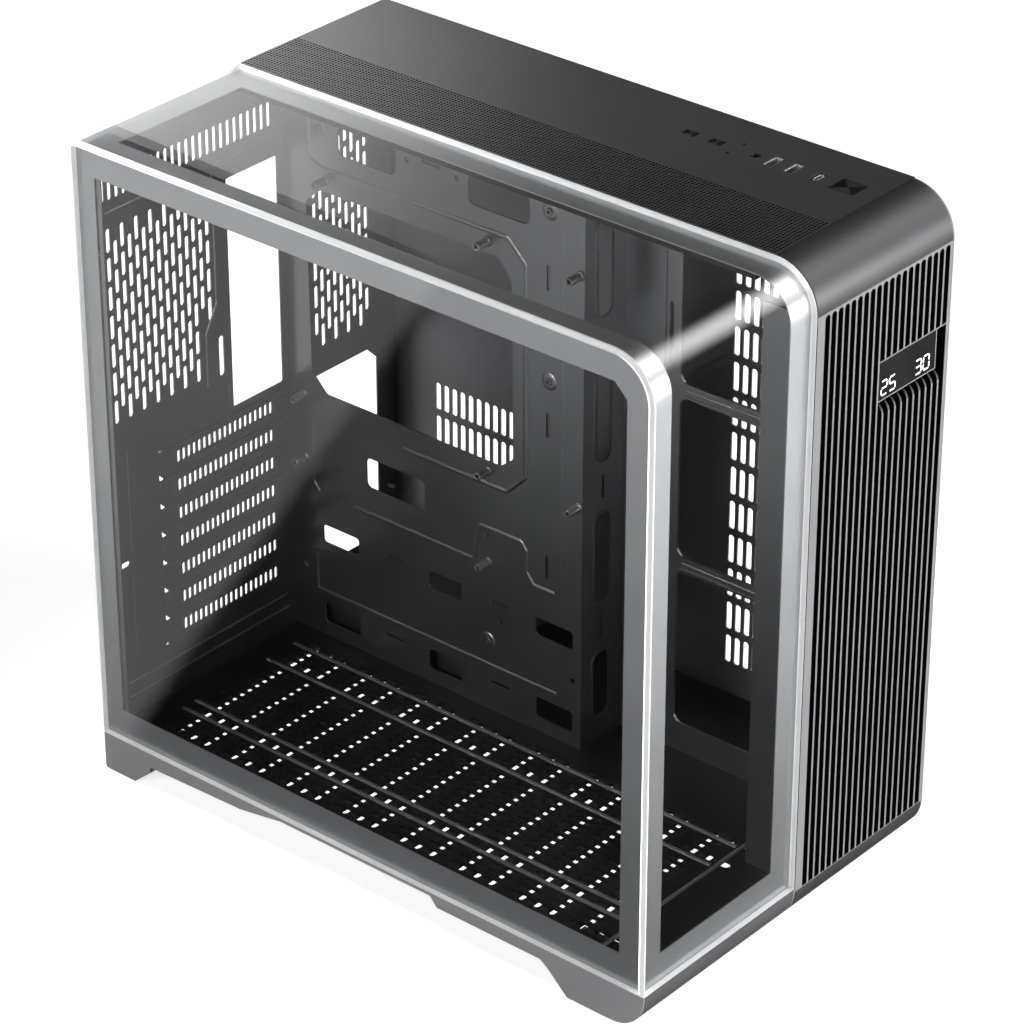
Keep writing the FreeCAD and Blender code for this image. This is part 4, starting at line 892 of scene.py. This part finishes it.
tray_chains = [[(193, 408), (193, 375), (182, 371), (31, 371), (16.5, 357), (16.5, 212), (32, 196.5), (117, 196.5)],
               [(195.7, 191), (196, 145), (191, 139)],
               [(160, 138.3), (59, 138.3), (54, 165), (20, 165), (16, 160), (16, 145), (10, 137.5), (-7, 137.5)],
               [(194.4, 94), (194.4, 65), (-9, 65)]]
boss = [(0, -0.05), (0, 0.1), (1.2, 0.1), (1.2, 1.5), (2.3, 1.5), (2.5, 1.2), (2.5, 0.6), (4.3, 0.6), (5.2, 0.4),
        (5.8, 0), (5.9, -0.05), (0, -0.05)]
boss_places = ((184, 398), (-2, 398.5), (-2, 285), (47.4, 82.8))
piece("board_tray", painted_steel,
      plate("x", tray_face, steel, tray_front, wall_inner, floor_top, roof_low, tray_holes),
      *[bead(chain, "x", tray_face, 3.4, 0.75, 2) for chain in tray_chains],
      *[turned(np.array(boss) * (1, -1) + (0, tray_face), "x", place, 28) for place in boss_places],
      bead([(-12, 145), (-12, 390)], "x", tray_face, 1.2, 0.3), nodes=["motherboard_tray"])
tip = corners("standoffs")[0][0]
bore_end = tip + 6
post = [(1.5, bore_end), (1.5, tip + 0.4), (1.9, tip), (2.4, tip), (2.8, tip + 0.5), (2.8, tray_face - 1.5),
        (3.3, tray_face - 1.2), (3.3, tray_face), (0, tray_face), (0, bore_end), (1.5, bore_end)]
piece("board_posts", post_steel, *[turned(post, "x", place) for place in board_fixings], nodes=["standoffs"])

(step_x0, step_y0, _), (step_x1, step_y1, _) = corners("cable_step")
cable_slots = [rounded(45, 63, z0, z1, 8)
               for z0, z1 in ((330, 397), (230.5, 297.5), (131, 198), (48, 98))]
small_slots = slots([(55, 214), (55, 113.5)], 2.4, 16)
piece("cable_wall", painted_steel,
      plate("y", tray_front, steel, step_x0, step_x1, floor_top, roof_low, cable_slots + small_slots),
      block(step_x1 - steel, step_x1, step_y0, tray_front, floor_top, roof_low),
      block(step_x0, step_x0 + steel, tray_front + steel, step_y1, floor_top, roof_low),
      *[flange(hole, "y", tray_front, 1.6, 0.9) for hole in cable_slots], nodes=["cable_step"])

(bracket_x, bracket_y0, _), (_, bracket_y1, _) = corners("side_fan_bracket")
fan_windows = [rounded(-182, -72, z0, z0 + 110, 6) for z0 in (53, 173, 293)]
bracket_holes = fan_windows + slots([(-64, 322), (-64, 212), (-64, 102)], 3, 44)
bracket_holes.append(disc(-55, 377, 2))
piece("fan_wall", painted_steel,
      plate("x", bracket_x, steel, bracket_y0, bracket_y1, floor_top, roof_low, bracket_holes),
      *[bead([(-178, z), (-76, z)], "x", bracket_x, 2, 0.6) for z in (168, 288)],
      *[flange(hole, "x", bracket_x, 1.8, 0.8) for hole in fan_windows], nodes=["side_fan_bracket"])


# Right panel

rim_x, skin_x, tab_y = right - 4, right - steel, wall_outer + panel_gap
side_vents = slots(crossing(rows(-185, -66, 7), rows(74, 396, 24.4)), 4.5, 20)
side_vents += slots(crossing(rows(114.5, 177.5, 7), (147, 171.4)), 4.5, 20)
tab_outline = rounded(chassis_right - 13, skin_x, panel_z0 + 12, panel_z1 - 12, 2)
piece("vented_side", outer_paint, plate("x", skin_x, steel, panel_y0, back, panel_z0, panel_z1, side_vents),
      block(rim_x, skin_x, panel_y0, back - steel, panel_z1 - steel, panel_z1),
      block(rim_x, skin_x, panel_y0, back - steel, panel_z0, panel_z0 + steel),
      block(rim_x, skin_x, panel_y0, panel_y0 + steel, panel_z0 + steel, panel_z1 - steel),
      pierced("y", tab_y, steel, tab_outline, [disc(thumb_x, z, 1.8) for z in thumb_z]), body="right_cover",
      nodes=["right_panel"])


# Stage, light and camera

def stage_floor():
    """Pale floor: white to the lens and through the glass with the object's soft shadow, greyer to the paint and
    the panes, with one paler field that the side pane mirrors."""
    reach = 14.0
    mesh = bpy.data.meshes.new("floor")
    mesh.from_pydata([(u, v, 0) for u, v in rectangle(-reach, reach, -reach, reach)], [], [(0, 1, 2, 3)])
    material, tree, shader = new_material("pale_floor")
    path = tree.nodes.new("ShaderNodeLightPath").outputs
    place = object_place(tree)

    def towards(direction):
        """Distance from the middle along a direction of the floor."""
        return node_of(tree, "ShaderNodeVectorMath", place, direction, operation="DOT_PRODUCT").outputs["Value"]

    mirrored = maths(tree, "MINIMUM", path["Glossy Depth"], 1.0)
    far = node_of(tree, "ShaderNodeVectorMath", place, operation="LENGTH").outputs["Value"]
    seen = maths(tree, "MULTIPLY_ADD", path["Is Transmission Ray"], 1.9, path["Is Camera Ray"])
    white = maths(tree, "MULTIPLY", seen, span(tree, far, 0.8, 1.6, 0.75, 1.0))
    field = span(tree, towards((0.4147, 0.910, 0.0)), 0.135, 0.15, 0.0, 0.55)
    glow = mixed(tree, mirrored, white, field, "FLOAT")
    # Seen in reflections through the panes, the floor glows dimmer close to the case, a painted shadow of the case, and
    # up to two and a half times brighter towards the front right.
    pale = span(tree, far, 0.3, 0.8, 0.04, 0.9)
    inner = maths(tree, "MULTIPLY", pale, span(tree, towards((0.4, -0.9, 0.0)), 0.0, 0.4, 1.0, 2.5))
    behind = maths(tree, "MULTIPLY", maths(tree, "GREATER_THAN", path["Transmission Depth"], 2.5), mirrored)
    dressed(tree, shader, Roughness=0.9, Specular_IOR_Level=0.0, Emission_Color=plain(1.0),
            Base_Color=mixed(tree, mirrored, plain(0.86), plain(0.03)),
            Emission_Strength=mixed(tree, behind, glow, inner, "FLOAT"))
    mesh.materials.append(material)
    floor = bpy.data.objects.new("floor", mesh)
    scene.collection.objects.link(floor)


def graded(tree, feed, stops):
    """Grey that follows stops of place and brightness, with the node that holds them."""
    ramp = node_of(tree, "ShaderNodeValToRGB", feed)
    while len(ramp.color_ramp.elements) < len(stops):
        ramp.color_ramp.elements.new(0.5)
    for element, (position, value) in zip(ramp.color_ramp.elements, stops):
        element.position = position
        element.color = plain(value)
    return ramp


def studio_world():
    """Soft surround: pale at the horizon, darker overhead, and white where it is seen straight or through glass."""
    world = bpy.data.worlds.new("studio")
    scene.world = world
    world.use_nodes = True
    tree = world.node_tree
    parts = node_of(tree, "ShaderNodeSeparateXYZ", tree.nodes.new("ShaderNodeTexCoord").outputs["Generated"])
    shade = graded(tree, parts.outputs["Z"], ((0.0, 0.14), (0.6, 0.05))).outputs["Color"]
    path = tree.nodes.new("ShaderNodeLightPath").outputs
    straight = maths(tree, "LESS_THAN", maths(tree, "ADD", path["Glossy Depth"], path["Diffuse Depth"]), 0.5)
    seen = maths(tree, "ADD", path["Is Camera Ray"], path["Is Transmission Ray"])
    surround = mixed(tree, maths(tree, "MULTIPLY", seen, straight), shade, plain(1.0))
    dressed(tree, tree.nodes["Background"], Color=surround)


def soft_box(name, place, aim, along, size, power, stops=((0.0, 1.0), (1.0, 1.0)), card=False, matte=False,
             spread=180.0):
    """Lamp panel facing a point, its length turned along a direction; its brightness follows the stops from one end
    of its length to the other. A card shows only in reflections, a matte lamp in none, and a small spread keeps the
    light to a beam."""
    lamp = bpy.data.lights.new(name, "AREA")
    lamp.shape = "RECTANGLE"
    lamp.size, lamp.size_y = size
    lamp.energy = power
    lamp.spread = math.radians(spread)
    lamp.use_nodes = True
    tree = lamp.node_tree
    parts = node_of(tree, "ShaderNodeSeparateXYZ", tree.nodes.new("ShaderNodeNewGeometry").outputs["Parametric"])
    ramp = graded(tree, parts.outputs["Y"], stops)
    ramp.color_ramp.interpolation = "EASE"
    dressed(tree, tree.nodes["Emission"], Color=ramp.outputs["Color"])
    place = Vector(place)
    facing = (place - Vector(aim)).normalized()
    length = Vector(along) - facing * facing.dot(Vector(along))
    length.normalize()
    turn = Matrix((length.cross(facing), length, facing)).transposed()
    thing = bpy.data.objects.new(name, lamp)
    thing.matrix_world = Matrix.Translation(place) @ turn.to_4x4()
    thing.visible_diffuse = not card
    thing.visible_glossy = not matte
    thing.visible_camera = False
    scene.collection.objects.link(thing)


stage_floor()
studio_world()
soft_box("front_box", (1.2, -2.8, 0.55), (0, -0.2, 0.3), (1, 0, 0), (0.9, 1.6), 155)
soft_box("left_box", (-2.2, 0.2, 0.95), (0, 0, 0.3), (0, 1, 0), (0.9, 1.4), 26)
soft_box("streak_box", (1.78, -1.2, 1.99), (-0.07, -0.2, 0.43), (0, 0.91, 0.42), (0.8, 2.6), 44,
         ((0.0, 0.0), (0.5, 1.0), (1.0, 0.0)), card=True)
soft_box("roof_box", (0.4, 0.45, 0.66), (0.1, 0.2, 0.44), (0, 1, 0), (0.2, 0.5), 0.5, ((0.2, 0.0), (0.9, 1.0)),
         card=True)
soft_box("rear_box", (-0.2, 0.55, 0.8), (-0.05, 0.25, 0.44), (1, 0, 0), (0.3, 0.3), 0.7, matte=True, spread=44.0)

eye = Vector((-1.66988, -1.42068, 1.45893))
aim = Vector((-0.0132, -0.01391, 0.22))
camera = bpy.data.objects.new("camera", bpy.data.cameras.new("camera"))
camera.data.lens = 146.172
camera.data.sensor_width = 36.0
camera.data.sensor_fit = "HORIZONTAL"
camera.location = eye
camera.rotation_euler = (aim - eye).to_track_quat("-Z", "Y").to_euler()
scene.collection.objects.link(camera)
scene.camera = camera
scene.view_settings.view_transform = "Standard"
